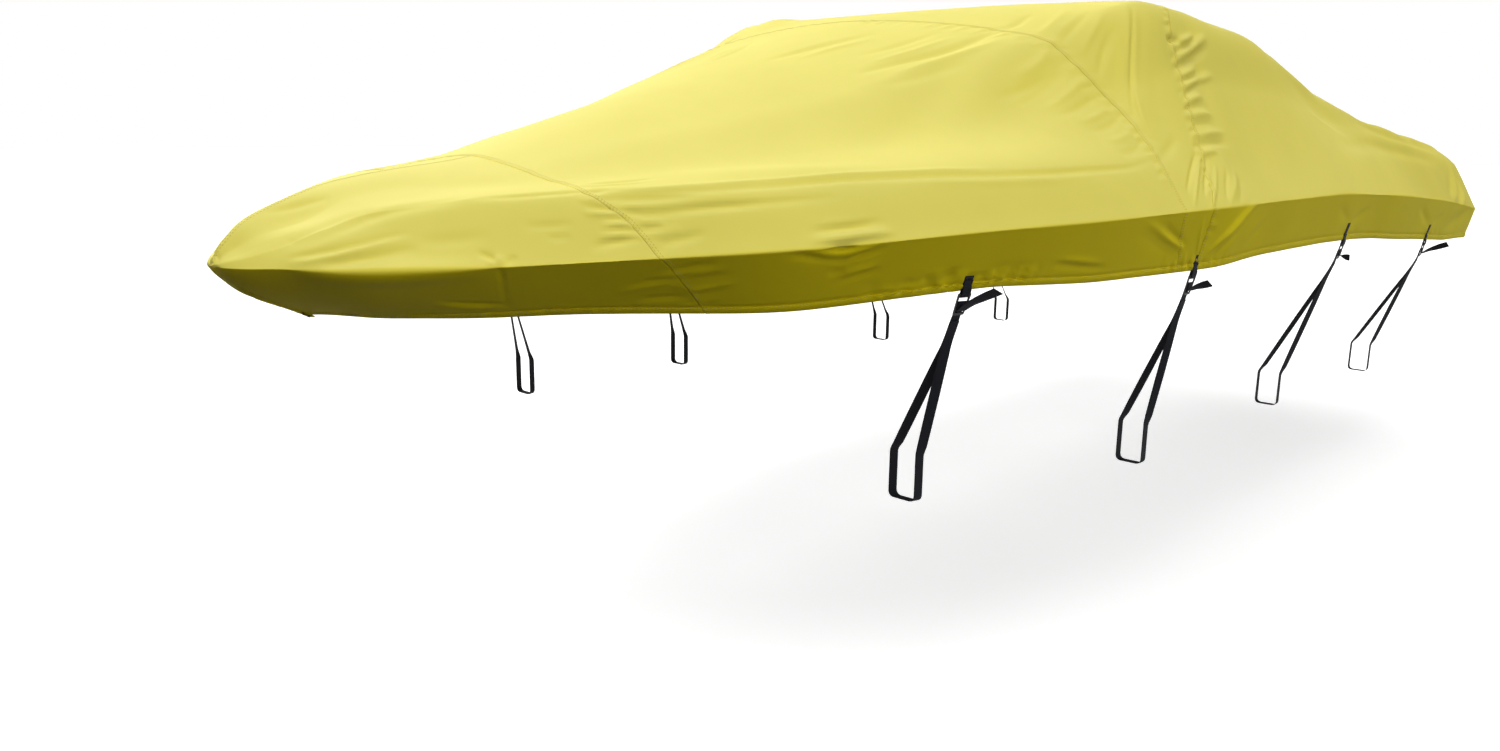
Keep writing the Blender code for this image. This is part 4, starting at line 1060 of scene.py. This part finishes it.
# ================================================================ stitching
def line_across(grid, normals, distances, depth, axis):
    """Points and normals of the line that lies depth from an edge, measured by distances along axis."""
    if axis == 1:
        grid, normals, distances = grid.swapaxes(0, 1), normals.swapaxes(0, 1), distances.T
    points, ups = [], []
    for column in range(grid.shape[1]):
        order = np.argsort(distances[:, column])
        at = distances[order, column]
        for made, values in ((points, grid), (ups, normals)):
            made.append([np.interp(depth, at, values[order, column, part]) for part in range(3)])
    return np.array(points), np.array(ups)


def hem_lines(cloth, both=True):
    """The hem's stitch line on one or both sides of a panel."""
    half = cloth.grid.shape[1] // 2
    sides = (slice(0, half), slice(half, None)) if both else (slice(None),)
    return [line_across(cloth.grid[:, part], cloth.normals[:, part], cloth.from_hem[:, part], HEM_ROW, 1)
            for part in sides]


def seam_lines(cloth, distances, axis):
    """The two stitch lines of a lapped edge."""
    return [line_across(cloth.grid, cloth.normals, distances, row, axis) for row in SEAM_ROWS]


def thread_faces(base):
    """Faces of one thread: a point, two rings of four and a point, numbered from base."""
    faces = []
    for turn in range(4):
        after = (turn + 1) % 4
        faces.append((base, base + 1 + after, base + 1 + turn))
        faces.append((base + 1 + turn, base + 1 + after, base + 5 + after, base + 5 + turn))
        faces.append((base + 9, base + 5 + turn, base + 5 + after))
    return faces


def thread_points(start, end, rise, side, thick):
    """Points of one thread from start to end, lying on the cloth with both ends sunk in."""
    points = [start - rise * thick * THREAD_SUNK]
    for share in THREAD_SHOULDERS:
        middle = start + (end - start) * share + rise * thick * THREAD_LIFT
        for angle in (math.pi / 4 + turn * math.pi / 2 for turn in range(4)):
            points.append(middle + side * math.cos(angle) * thick * THREAD_WIDE * THREAD_TAPER
                          + rise * math.sin(angle) * thick * THREAD_HIGH * THREAD_TAPER)
    points.append(end - rise * thick * THREAD_SUNK)
    return points


def stitches(name, lines, pitch=STITCH_PITCH, long=STITCH_LONG, thick=STITCH_THICK):
    """Short raised threads along each line of points."""
    verts, faces = [], []
    for points, ups in lines:
        run = np.concatenate([[0.0], np.cumsum(np.linalg.norm(np.diff(points, axis=0), axis=1))])
        count = int(run[-1] / pitch)
        at = (np.arange(count) + 0.5) * run[-1] / count

        def read(values, where):
            """The line's values at these distances along it."""
            return np.stack([np.interp(where, run, values[:, axis]) for axis in range(3)], -1)

        starts, ends = read(points, at - long / 2), read(points, at + long / 2)
        up = read(ups, at)
        up /= np.maximum(np.linalg.norm(up, axis=1, keepdims=True), 1e-9)
        forward = ends - starts
        forward /= np.maximum(np.linalg.norm(forward, axis=1, keepdims=True), 1e-9)
        for start, end, rise, side in zip(starts, ends, up, np.cross(up, forward)):
            faces += thread_faces(len(verts))
            verts += thread_points(start, end, rise, side, thick)
    mesh = bpy.data.meshes.new(name)
    mesh.from_pydata([tuple(vert) for vert in verts], [], faces)
    return closed(name, mesh)


# ================================================================ straps and buckles
def cloth_at(aft, across):
    """Points of the cloth with its broad folds, in the cover's own measures."""
    points = plain_cloth(aft, across)
    lengthwise = (plain_cloth(np.clip(aft + PROBE_AFT, 0.0, LENGTH), across)
                  - plain_cloth(np.clip(aft - PROBE_AFT, 0.0, LENGTH), across))
    crosswise = (plain_cloth(aft, np.clip(across + PROBE_ACROSS, 0.0, 2.0))
                 - plain_cloth(aft, np.clip(across - PROBE_ACROSS, 0.0, 2.0)))
    normals = np.cross(lengthwise, crosswise)
    normals /= np.maximum(np.linalg.norm(normals, axis=1, keepdims=True), 1e-9)
    rise = np.zeros(len(points))
    for fold in BROAD_FOLDS:
        path = np.array(fold.path)
        ends = plain_cloth(path[:, 0], path[:, 1])
        line = ends[1] - ends[0]
        t = np.clip((points - ends[0]) @ line / (line @ line), 0.0, 1.0)
        away = np.linalg.norm(points - ends[0] - t[:, None] * line, axis=1)
        ease = np.sqrt(np.clip(4 * t * (1 - t), 0.0, 1.0))
        rise += fold.rise * ease * np.exp(-(away / fold.half_width) ** 2)
    return points + normals * rise[:, None]


class Hanger:
    """Where one strap's tab and buckle hang: flat on the skirt's outer face, and straight on below it."""

    def __init__(self, row):
        half = WEBBING_WIDTH / 2
        aft = row.aft + half * np.repeat((-1.0, 0.0, 1.0), 4)
        across = np.tile(np.linspace(1.0 + row.tab_top, 2.0, 4), 3)
        under = cloth_at(aft, across).reshape(3, 4, 3)
        self.top = under[1, 0]
        self.down = under[1, 3] - under[1, 0]
        self.down /= np.linalg.norm(self.down)
        self.wide = (under[2] - under[0]).mean(axis=0)
        self.wide -= self.down * (self.down @ self.wide)
        self.wide /= np.linalg.norm(self.wide)
        self.out = np.cross(self.wide, self.down)
        self.out *= np.sign(self.out[1])
        self.top = self.top + self.out * ((under - self.top) @ self.out).max()

    def at(self, down, lift, along=0.0):
        """A point this far down from the tab's top edge, lifted off the skirt's outer face."""
        return self.top + self.down * down + self.out * lift + self.wide * along


def fine_path(path, wides):
    """A rounder path through the same points, with its width directions."""
    path = np.array(path)
    wides = np.broadcast_to(np.array(wides), path.shape)
    lengths = np.linalg.norm(np.diff(path, axis=0), axis=1)
    knots = np.concatenate([[0.0], np.cumsum(lengths)])
    at = []
    for knot, length in zip(knots, lengths):
        count = max(1, min(WEB_MOST_STEPS, int(round(length / WEB_STEP))))
        at.extend(knot + length * np.arange(count) / count)
    at = np.array(at + [knots[-1]])
    fine = np.stack([smooth(knots, path[:, axis], at) for axis in range(3)], -1)
    wide = np.stack([np.interp(at, knots, wides[:, axis]) for axis in range(3)], -1)
    return fine, wide / np.linalg.norm(wide, axis=1, keepdims=True)


def ribbon(name, path, wides, side):
    """Woven webbing along a path of points in the cover's own measures."""
    path, wides = fine_path(path, wides)
    steps = np.diff(path, axis=0)
    lengths = np.linalg.norm(steps, axis=1)
    steps /= lengths[:, None]
    along = np.concatenate([[0.0], np.cumsum(lengths)])
    verts, uvs = [], []
    for index, point in enumerate(path):
        run = steps[max(index - 1, 0)] + steps[min(index, len(steps) - 1)]
        through = np.cross(wides[index], run / np.linalg.norm(run))
        through /= np.linalg.norm(through)
        for across, out in WEB_SECTION:
            verts.append(point + wides[index] * across * WEBBING_WIDTH / 2 + through * out * WEB_SHOWN / 2)
            uvs.append((across * WEBBING_WIDTH / 2, along[index]))
    count = len(WEB_SECTION)
    faces = [tuple(range(count)), tuple(len(verts) - count + corner for corner in reversed(range(count)))]
    for base in range(0, count * (len(path) - 1), count):
        for corner in range(count):
            following = (corner + 1) % count
            faces.append((base + corner, base + count + corner, base + count + following, base + following))
    mesh = bpy.data.meshes.new(name)
    mesh.from_pydata(to_part(np.array(verts), side).tolist(), [], faces)
    layer = mesh.uv_layers.new(name="cloth")
    for loop in mesh.loops:
        layer.data[loop.index].uv = uvs[loop.vertex_index]
    return closed(name, mesh)


def tab_route(hanger, row):
    """The tab: flat on the skirt, round the buckle's top bar and back up behind itself."""
    turn = row.tab_length + BUCKLE_BAR / 2
    path = [hanger.at(down, TAB_LIFT) for down in (0.0, turn * 0.5, turn)]
    for angle in TAB_ANGLES:
        reach = math.radians(angle)
        down = turn + BUCKLE_BAR / 2 + BAR_TURN * math.cos(reach)
        path.append(hanger.at(down, TAB_LIFT + BAR_TURN + BAR_TURN * math.sin(reach)))
    for back in TAB_BACK_AT_BAR:
        path.append(hanger.at(turn - back, TAB_LIFT + 2 * BAR_TURN))
    for back in TAB_BACK_ON_TAB:
        path.append(hanger.at(turn - back, TAB_LIFT + WEBBING_THICK + TOUCH_GAP))
    return path


def rounded(corners, cut, steps=4):
    """A closed outline with each corner cut by an arc."""
    corners = [np.array(corner, float) for corner in corners]
    points = []
    for index, corner in enumerate(corners):
        back = corners[index - 1] - corner
        onward = corners[(index + 1) % len(corners)] - corner
        start = corner + back / np.linalg.norm(back) * cut
        end = corner + onward / np.linalg.norm(onward) * cut
        for step in range(steps + 1):
            t = step / steps
            points.append(tuple((1 - t) ** 2 * start + 2 * t * (1 - t) * corner + t * t * end))
    return points


def buckle_outlines():
    """The buckle's tapered outline and its two windows."""
    head, foot, half = BUCKLE_HEAD / 2, BUCKLE_FOOT / 2, BUCKLE_SLOT / 2
    outlines = [rounded([(-head, 0.0), (head, 0.0), (foot, -BUCKLE_TALL), (-foot, -BUCKLE_TALL)], BUCKLE_CUT)]
    for index in range(2):
        top = -BUCKLE_BAR - index * (BUCKLE_BAR + BUCKLE_WINDOW)
        low = top - BUCKLE_WINDOW
        outlines.append(rounded([(-half, top), (-half, low), (half, low), (half, top)], WINDOW_CUT))
    return outlines


def buckle(name, hanger, row, side):
    """Tapered three-bar buckle with two windows, its edges moulded round."""
    curve = bpy.data.curves.new(name, "CURVE")
    curve.dimensions = "2D"
    curve.fill_mode = "BOTH"
    curve.extrude = BUCKLE_THICK / 2 - BUCKLE_ROUND
    curve.bevel_depth = BUCKLE_ROUND
    curve.bevel_resolution = 2
    curve.offset = -BUCKLE_ROUND
    for points in buckle_outlines():
        spline = curve.splines.new("POLY")
        spline.points.add(len(points) - 1)
        for point, (along, up) in zip(spline.points, points):
            point.co = (along, up, 0.0, 1.0)
        spline.use_cyclic_u = True
    flat = bpy.data.objects.new(name + "_flat", curve)
    bpy.context.scene.collection.objects.link(flat)
    bpy.context.view_layer.update()
    mesh = bpy.data.meshes.new_from_object(flat.evaluated_get(bpy.context.evaluated_depsgraph_get()))
    bpy.data.objects.remove(flat)
    lift = TAB_LIFT + BAR_TURN
    for vertex in mesh.vertices:
        along, up, through = vertex.co
        vertex.co = to_part(hanger.at(row.tab_length - up, lift + through, along), side)
    return closed(name, mesh, BUCKLE_WELD)


def arc(centre, radius, start, end, steps):
    """Points (out, up) round part of a circle, angles in degrees from outwards (0) to upwards (90)."""
    angles = [math.radians(start + (end - start) * step / steps) for step in range(steps + 1)]
    return [(centre[0] + radius * math.cos(angle), centre[1] + radius * math.sin(angle)) for angle in angles]


def turned(wide, run, degrees):
    """The direction wide turned about the direction run."""
    angle = math.radians(degrees)
    run = run / np.linalg.norm(run)
    return (wide * math.cos(angle) + np.cross(run, wide) * math.sin(angle)
            + run * (run @ wide) * (1 - math.cos(angle)))


def strap_route(hanger, row):
    """Points and width directions from the free tail, round the buckle's middle bar and under the bar."""
    middle = TAB_LIFT + BAR_TURN
    bar = row.tab_length + 1.5 * BUCKLE_BAR + BUCKLE_WINDOW
    foot = row.tab_length + BUCKLE_TALL
    exit_down = foot - BUCKLE_BAR - EXIT_UP
    leaving = hanger.at(exit_down, middle + BAR_TURN + EXIT_OUT)
    route = []
    wides = []
    for share in TAIL_SHARES:
        run = np.array([0.0, row.tail_out * share, row.tail_up * share ** TAIL_BEND])
        route.append(leaving + run)
        wides.append(turned(hanger.wide, run, row.tail_turn * min(1.0, TAIL_TURN_RATE * share)))
    route.append(leaving)
    route.append(hanger.at(exit_down - EXIT_UP, middle + BAR_TURN))
    for angle in STRAP_ANGLES:
        reach = math.radians(angle)
        down = bar - BUCKLE_BAR / 2 - BAR_TURN * math.cos(reach)
        route.append(hanger.at(down, middle + BAR_TURN * math.sin(reach)))
    route.append(hanger.at(bar + BAR_CLEAR, middle - BAR_TURN))
    start = hanger.at(foot + FOOT_CLEAR, middle - BAR_TURN)
    route.append(start)

    def beside_bar(out, up):
        """A point as far aft as the strap's start, this far out and up."""
        return np.array([start[0], out, up])

    inner = row.bar_out - BAR_WIDTH
    outer = row.bar_out
    leg_foot = row.bar_top + LEG_FOOT_UP
    towards = beside_bar((inner + outer) / 2, row.bar_top) - start
    towards /= np.linalg.norm(towards)
    aside = np.cross(hanger.wide, towards)
    aside *= np.sign(aside[1]) * (WEBBING_THICK + TOUCH_GAP)
    fork = start + towards * FORK_DROP

    def leg(first, last, twist):
        """One straight leg, its webbing turning towards the bow and back on the way."""
        route.append(first)
        wides.append(turned(hanger.wide, last - first, twist * FORK_TURN * (first[2] > last[2])))
        for share, part in LEG_TURNS:
            route.append(first + (last - first) * share)
            wides.append(turned(hanger.wide, last - first, twist * part))
        route.append(last)
        wides.append(turned(hanger.wide, last - first, twist * FORK_TURN * (last[2] > first[2])))

    wides.extend([hanger.wide] * (len(route) - len(wides)))
    leg(fork, beside_bar(inner, leg_foot), LEG_TWIST)
    corner_up = row.bar_under + LOOP_CORNER
    for out, turn in ((inner + LOOP_CORNER, 180), (outer - LOOP_CORNER, 270)):
        route.extend(beside_bar(*point) for point in arc((out, corner_up), LOOP_CORNER, turn, turn + 90, 3))
    wides.extend([hanger.wide] * (len(route) - len(wides)))
    leg(beside_bar(outer, leg_foot), fork + turned(aside, towards, LEG_TWIST * FORK_TURN), -LEG_TWIST)
    route.append(start + towards * END_DROP + aside)
    wides.extend([hanger.wide] * (len(route) - len(wides)))
    return route, wides


def tab_lines(hanger, row, side):
    """A box of stitching with a cross in it, on the tab's face."""
    half = WEBBING_WIDTH / 2 - BOX_INSET
    top, foot = BOX_INSET, min(BOX_TALL, row.tab_length * BOX_SHARE)
    box = [(top, -half), (top, half), (foot, half), (foot, -half), (top, -half)]
    cross = [[(top, -half), (foot, half)], [(top, half), (foot, -half)]]
    up = to_part(hanger.out + np.array([MOUNT_AFT, 0.0, MOUNT_UP]), side)
    lines = []
    for path in [box[:2], box[1:3], box[2:4], box[3:]] + cross:
        points = np.array([hanger.at(down, TAB_LIFT + BOX_LIFT, along) for down, along in path])
        lines.append((to_part(points, side), np.tile(up, (len(path), 1))))
    return lines


# ================================================================ materials
def new_material(name):
    """An empty Principled material with its node tree."""
    made = bpy.data.materials.new(name)
    made.use_nodes = True
    return made, made.node_tree, made.node_tree.nodes["Principled BSDF"]


def node(tree, kind, **settings):
    """A shader node with its properties and its inputs' values set."""
    made = tree.nodes.new(kind)
    for key, value in settings.items():
        if hasattr(made, key):
            setattr(made, key, value)
        else:
            made.inputs[key.replace("_", " ")].default_value = value
    return made


def noise(tree, place, **settings):
    """A noise texture's grey value."""
    made = node(tree, "ShaderNodeTexNoise", **settings)
    tree.links.new(place, made.inputs["Vector"])
    return made.outputs["Fac"]


def bands(tree, uv, direction, threads, **settings):
    """Waves across one direction of the cloth, this many to the metre."""
    made = node(tree, "ShaderNodeTexWave", wave_type="BANDS", bands_direction=direction, **settings)
    made.inputs["Scale"].default_value = threads / WAVES_AT_SCALE_1
    tree.links.new(uv, made.inputs["Vector"])
    return made.outputs["Fac"]


def maths(tree, operation, *values):
    """The result of a maths node; each value is a number or another node's output."""
    made = node(tree, "ShaderNodeMath", operation=operation)
    for socket, value in zip(made.inputs, values):
        if isinstance(value, float):
            socket.default_value = value
        else:
            tree.links.new(value, socket)
    return made.outputs[0]


def ranged(tree, value, taken, given):
    """A value carried from one range to another."""
    (low, high), (least, most) = taken, given
    made = node(tree, "ShaderNodeMapRange", From_Min=low, From_Max=high, To_Min=least, To_Max=most)
    tree.links.new(value, made.inputs["Value"])
    return made.outputs["Result"]


def blend(tree, share, first, second):
    """Two colours mixed; each is a tuple or another node's output."""
    made = node(tree, "ShaderNodeMix", data_type="RGBA")
    tree.links.new(share, made.inputs[0])
    for socket, colour in ((made.inputs[6], first), (made.inputs[7], second)):
        if isinstance(colour, tuple):
            socket.default_value = (*colour, 1.0)
        else:
            tree.links.new(colour, socket)
    return made.outputs[2]


def raise_grain(tree, shader, height, strength, distance):
    """A fine relief that only the light shows."""
    bump = node(tree, "ShaderNodeBump", Strength=strength, Distance=distance)
    tree.links.new(height, bump.inputs["Height"])
    tree.links.new(bump.outputs["Normal"], shader.inputs["Normal"])


def cloth_uv(tree):
    """Places on the cloth in metres."""
    return node(tree, "ShaderNodeUVMap", uv_map="cloth").outputs["UV"]


def object_place(tree):
    """Places in the part's frame."""
    return node(tree, "ShaderNodeTexCoord").outputs["Object"]


def cloth_material():
    """Coated polyester: yellow, nearly matt, faintly uneven, with painted shade: deeper, more saturated
    colour on steep cloth, on the top towards the stern and on the skirt.
    """
    made, tree, shader = new_material("cover_cloth")
    uv = cloth_uv(tree)
    patch = noise(tree, uv, Scale=3.2, Detail=3.0, Roughness=0.5)
    fine = noise(tree, uv, Scale=240.0, Detail=2.0, Roughness=0.6)
    skirt_part, steep, sternward = (node(tree, "ShaderNodeAttribute", attribute_name=name).outputs["Fac"]
                                    for name in ("skirt", "steep", "sternward"))
    # painted shade on steep cloth
    top = blend(tree, steep, LEVEL_COLOUR, STEEP_SHADE_COLOUR)
    # painted shade on the top towards the stern
    stern_shade_share = ranged(tree, sternward, taken=(STERN_SHADE_FROM, 1.0), given=(0.0, 1.0))
    top = blend(tree, stern_shade_share, top, STERN_SHADE_COLOUR)
    # painted shade on the skirt, from bow to stern
    below = blend(tree, sternward, SKIRT_BOW_SHADE_COLOUR, SKIRT_STERN_SHADE_COLOUR)
    uneven = node(tree, "ShaderNodeVectorMath", operation="SCALE")
    tree.links.new(blend(tree, skirt_part, top, below), uneven.inputs[0])
    paler = ranged(tree, patch, taken=(0.3, 0.7), given=(1.0, 0.955))
    tree.links.new(paler, uneven.inputs["Scale"])
    tree.links.new(uneven.outputs[0], shader.inputs["Base Color"])
    rough = ranged(tree, fine, taken=(0.2, 0.8), given=(0.60, 0.74))
    tree.links.new(rough, shader.inputs["Roughness"])
    weave = maths(tree, "MULTIPLY", *(bands(tree, uv, way, CLOTH_THREADS) for way in ("X", "Y")))
    height = maths(tree, "MULTIPLY_ADD", fine, 0.6, weave)
    raise_grain(tree, shader, height, strength=0.10, distance=0.0003)
    shader.inputs["Specular IOR Level"].default_value = 0.07
    return made


def thread_material(name, colour, rough):
    """Twisted sewing thread."""
    made, tree, shader = new_material(name)
    grain = noise(tree, object_place(tree), Scale=900.0, Detail=2.0)
    darker = tuple(part * 0.75 for part in colour)
    tree.links.new(blend(tree, grain, colour, darker), shader.inputs["Base Color"])
    shader.inputs["Roughness"].default_value = rough
    return made


def webbing_material():
    """Black woven webbing with fine cross ribs and finer runs along it, paler on the crowns of the weave."""
    made, tree, shader = new_material("webbing")
    uv = cloth_uv(tree)
    ribs = bands(tree, uv, "Y", threads=620.0, Distortion=0.6)
    runs = bands(tree, uv, "X", threads=480.0)
    weave = maths(tree, "MULTIPLY_ADD", ribs, 0.7, runs)
    tone = blend(tree, weave, (0.0025, 0.0025, 0.004), (0.0100, 0.0105, 0.0145))
    tree.links.new(tone, shader.inputs["Base Color"])
    raise_grain(tree, shader, weave, strength=0.55, distance=0.0005)
    shader.inputs["Roughness"].default_value = 0.72
    shader.inputs["Specular IOR Level"].default_value = 0.12
    return made


def plastic_material():
    """Moulded black plastic with a fine spark-eroded grain."""
    made, tree, shader = new_material("buckle_plastic")
    grain = noise(tree, object_place(tree), Scale=1800.0, Detail=2.0)
    rough = ranged(tree, grain, taken=(0.3, 0.7), given=(0.32, 0.48))
    tree.links.new(rough, shader.inputs["Roughness"])
    tone = blend(tree, grain, (0.004, 0.004, 0.006), (0.008, 0.008, 0.011))
    tree.links.new(tone, shader.inputs["Base Color"])
    raise_grain(tree, shader, grain, strength=0.25, distance=0.0001)
    shader.inputs["Specular IOR Level"].default_value = 0.30
    return made


YELLOW_CLOTH = cloth_material()
YELLOW_THREAD = thread_material("seam_thread", (0.62, 0.54, 0.10), 0.55)
BLACK_THREAD = thread_material("tab_thread", (0.035, 0.035, 0.045), 0.5)
WEBBING = webbing_material()
PLASTIC = plastic_material()

# ================================================================ the cover
bow_parts = {}
for side in (PORT, STARBOARD):
    label = SIDE_NAMES[side]
    piece, cloth = bow_cloth(side)
    bow_parts[side] = (piece, cloth)
    piece.data.materials.append(YELLOW_CLOTH)
    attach(piece, "root")
    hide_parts(f"bow_panel_{label}")

fore, fore_cloth = middle_cloth("fore_cloth", BOW_SEAM, SCREEN_SEAM, FORE_ROWS)
screen, screen_cloth = middle_cloth("screen_cloth", SCREEN_SEAM, GATHERED_SEAM, SCREEN_ROWS)
aft, after_cloth, stern_cloth = aft_cloth()
for piece, cad_node in ((fore, "fore_panel"), (screen, "screen_panel"), (aft, "aft_panel")):
    piece.data.materials.append(YELLOW_CLOTH)
    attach(piece, "root")
    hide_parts(cad_node)

threads = []
for side, (piece, cloth) in bow_parts.items():
    middle_seam = seam_lines(cloth, cloth.from_left, 1) if side == PORT else []
    threads.append((piece, hem_lines(cloth, both=False) + middle_seam))
for piece, cloth in ((fore, fore_cloth), (screen, screen_cloth), (aft, after_cloth)):
    threads.append((piece, hem_lines(cloth) + seam_lines(cloth, cloth.from_front, 0)))
stern_line = line_across(stern_cloth.grid, stern_cloth.normals, stern_cloth.from_hem, HEM_ROW, 0)
threads[-1][1].append(stern_line)
for piece, lines in threads:
    thread = stitches(f"{piece.name}_stitching", lines)
    thread.data.materials.append(YELLOW_THREAD)
    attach(thread, "root")

# The form of a panel's size in metres as it is cut, before it is sewn and pulled tight; no sizes are given.
Cut = namedtuple("Cut", "piece width length area")

for side in (PORT, STARBOARD):
    for number, row in enumerate(STRAPS, 1):
        hanger = Hanger(row)
        label = f"{SIDE_NAMES[side]}_{number}"
        tab = ribbon(f"tab_web_{label}", tab_route(hanger, row), hanger.wide, side)
        moulding = buckle(f"buckle_moulding_{label}", hanger, row, side)
        strap = ribbon(f"strap_web_{label}", *strap_route(hanger, row), side)
        pieces = ((tab, f"tab_{label}", WEBBING, "webbing"),
                  (moulding, f"buckle_{label}", PLASTIC, "buckle_plastic"),
                  (strap, f"strap_{label}", WEBBING, "webbing"))
        for piece, cad_node, look, slot_name in pieces:
            piece.data.materials.append(look)
            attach(piece, "root")
            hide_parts(cad_node)
        thread = stitches(f"tab_stitching_{label}", tab_lines(hanger, row, side),
                          TAB_STITCH_PITCH, TAB_STITCH_LONG, TAB_STITCH_THICK)
        thread.data.materials.append(BLACK_THREAD)
        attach(thread, "root")


# ================================================================ studio
def floor():
    """A wide pale floor."""
    mesh = bpy.data.meshes.new("studio_floor")
    bm = bmesh.new()
    bmesh.ops.create_grid(bm, x_segments=8, y_segments=8, size=FLOOR_HALF)
    bm.to_mesh(mesh)
    bm.free()
    obj = bpy.data.objects.new("studio_floor", mesh)
    obj.location = (0.0, 0.0, -BOW_HEIGHT - MOUNT_UP)
    bpy.context.scene.collection.objects.link(obj)
    made, tree, shader = new_material("studio_floor")
    patch = noise(tree, object_place(tree), Scale=0.8, Detail=2.0)
    tree.links.new(blend(tree, patch, (0.90, 0.90, 0.90), (0.88, 0.88, 0.88)), shader.inputs["Base Color"])
    shader.inputs["Roughness"].default_value = 0.9
    shader.inputs["Specular IOR Level"].default_value = 0.0
    shader.inputs["Emission Color"].default_value = (1.0, 1.0, 1.0, 1.0)
    shader.inputs["Emission Strength"].default_value = FLOOR_GLOW
    obj.data.materials.append(made)
    obj.visible_diffuse = False


def sun(row):
    """One soft, distant light."""
    light = bpy.data.lights.new(row.name, "SUN")
    light.energy = row.strength
    light.angle = math.radians(LIGHT_SPREAD)
    obj = bpy.data.objects.new(row.name, light)
    up, turn = math.radians(row.up), math.radians(row.round)
    away = Vector((-math.cos(up) * math.cos(turn), -math.cos(up) * math.sin(turn), math.sin(up)))
    obj.rotation_mode = "QUATERNION"
    obj.rotation_quaternion = away.to_track_quat("Z", "Y")
    bpy.context.scene.collection.objects.link(obj)


floor()
for row in LIGHTS:
    sun(row)

world = bpy.data.worlds.new("studio")
world.use_nodes = True
background = world.node_tree.nodes["Background"]
background.inputs["Color"].default_value = (1.0, 1.0, 1.0, 1.0)
background.inputs["Strength"].default_value = 1.0
world.cycles_visibility.diffuse = False
bpy.context.scene.world = world
bpy.context.scene.view_settings.view_transform = "Standard"
bpy.context.scene.view_settings.look = "None"


# ================================================================ camera
def camera():
    """The photograph's view of the port bow."""
    yaw, pitch, roll = (math.radians(angle) for angle in (CAMERA_YAW, CAMERA_PITCH, CAMERA_ROLL))
    level = np.array([math.cos(yaw), math.sin(yaw), 0.0])
    right = np.array([math.sin(yaw), -math.cos(yaw), 0.0])
    ahead = level * math.cos(pitch) - np.array([0.0, 0.0, math.sin(pitch)])
    up = np.cross(right, ahead)
    tilted_right = math.cos(roll) * right + math.sin(roll) * up
    tilted_up = -math.sin(roll) * right + math.cos(roll) * up
    place = (CAMERA_AFT - MOUNT_AFT, -CAMERA_OUT, CAMERA_UP - MOUNT_UP)
    data = bpy.data.cameras.new("photo_camera")
    data.sensor_fit = "HORIZONTAL"
    data.sensor_width = SENSOR
    data.lens = SENSOR * FOCAL_PX / FRAME_WIDE
    data.clip_end = CLIP_END
    obj = bpy.data.objects.new("photo_camera", data)
    columns = [tilted_right, tilted_up, -ahead, place]
    obj.matrix_world = Matrix([[column[axis] for column in columns] for axis in range(3)] + [[0, 0, 0, 1]])
    bpy.context.scene.collection.objects.link(obj)
    return obj


bpy.context.scene.camera = camera()
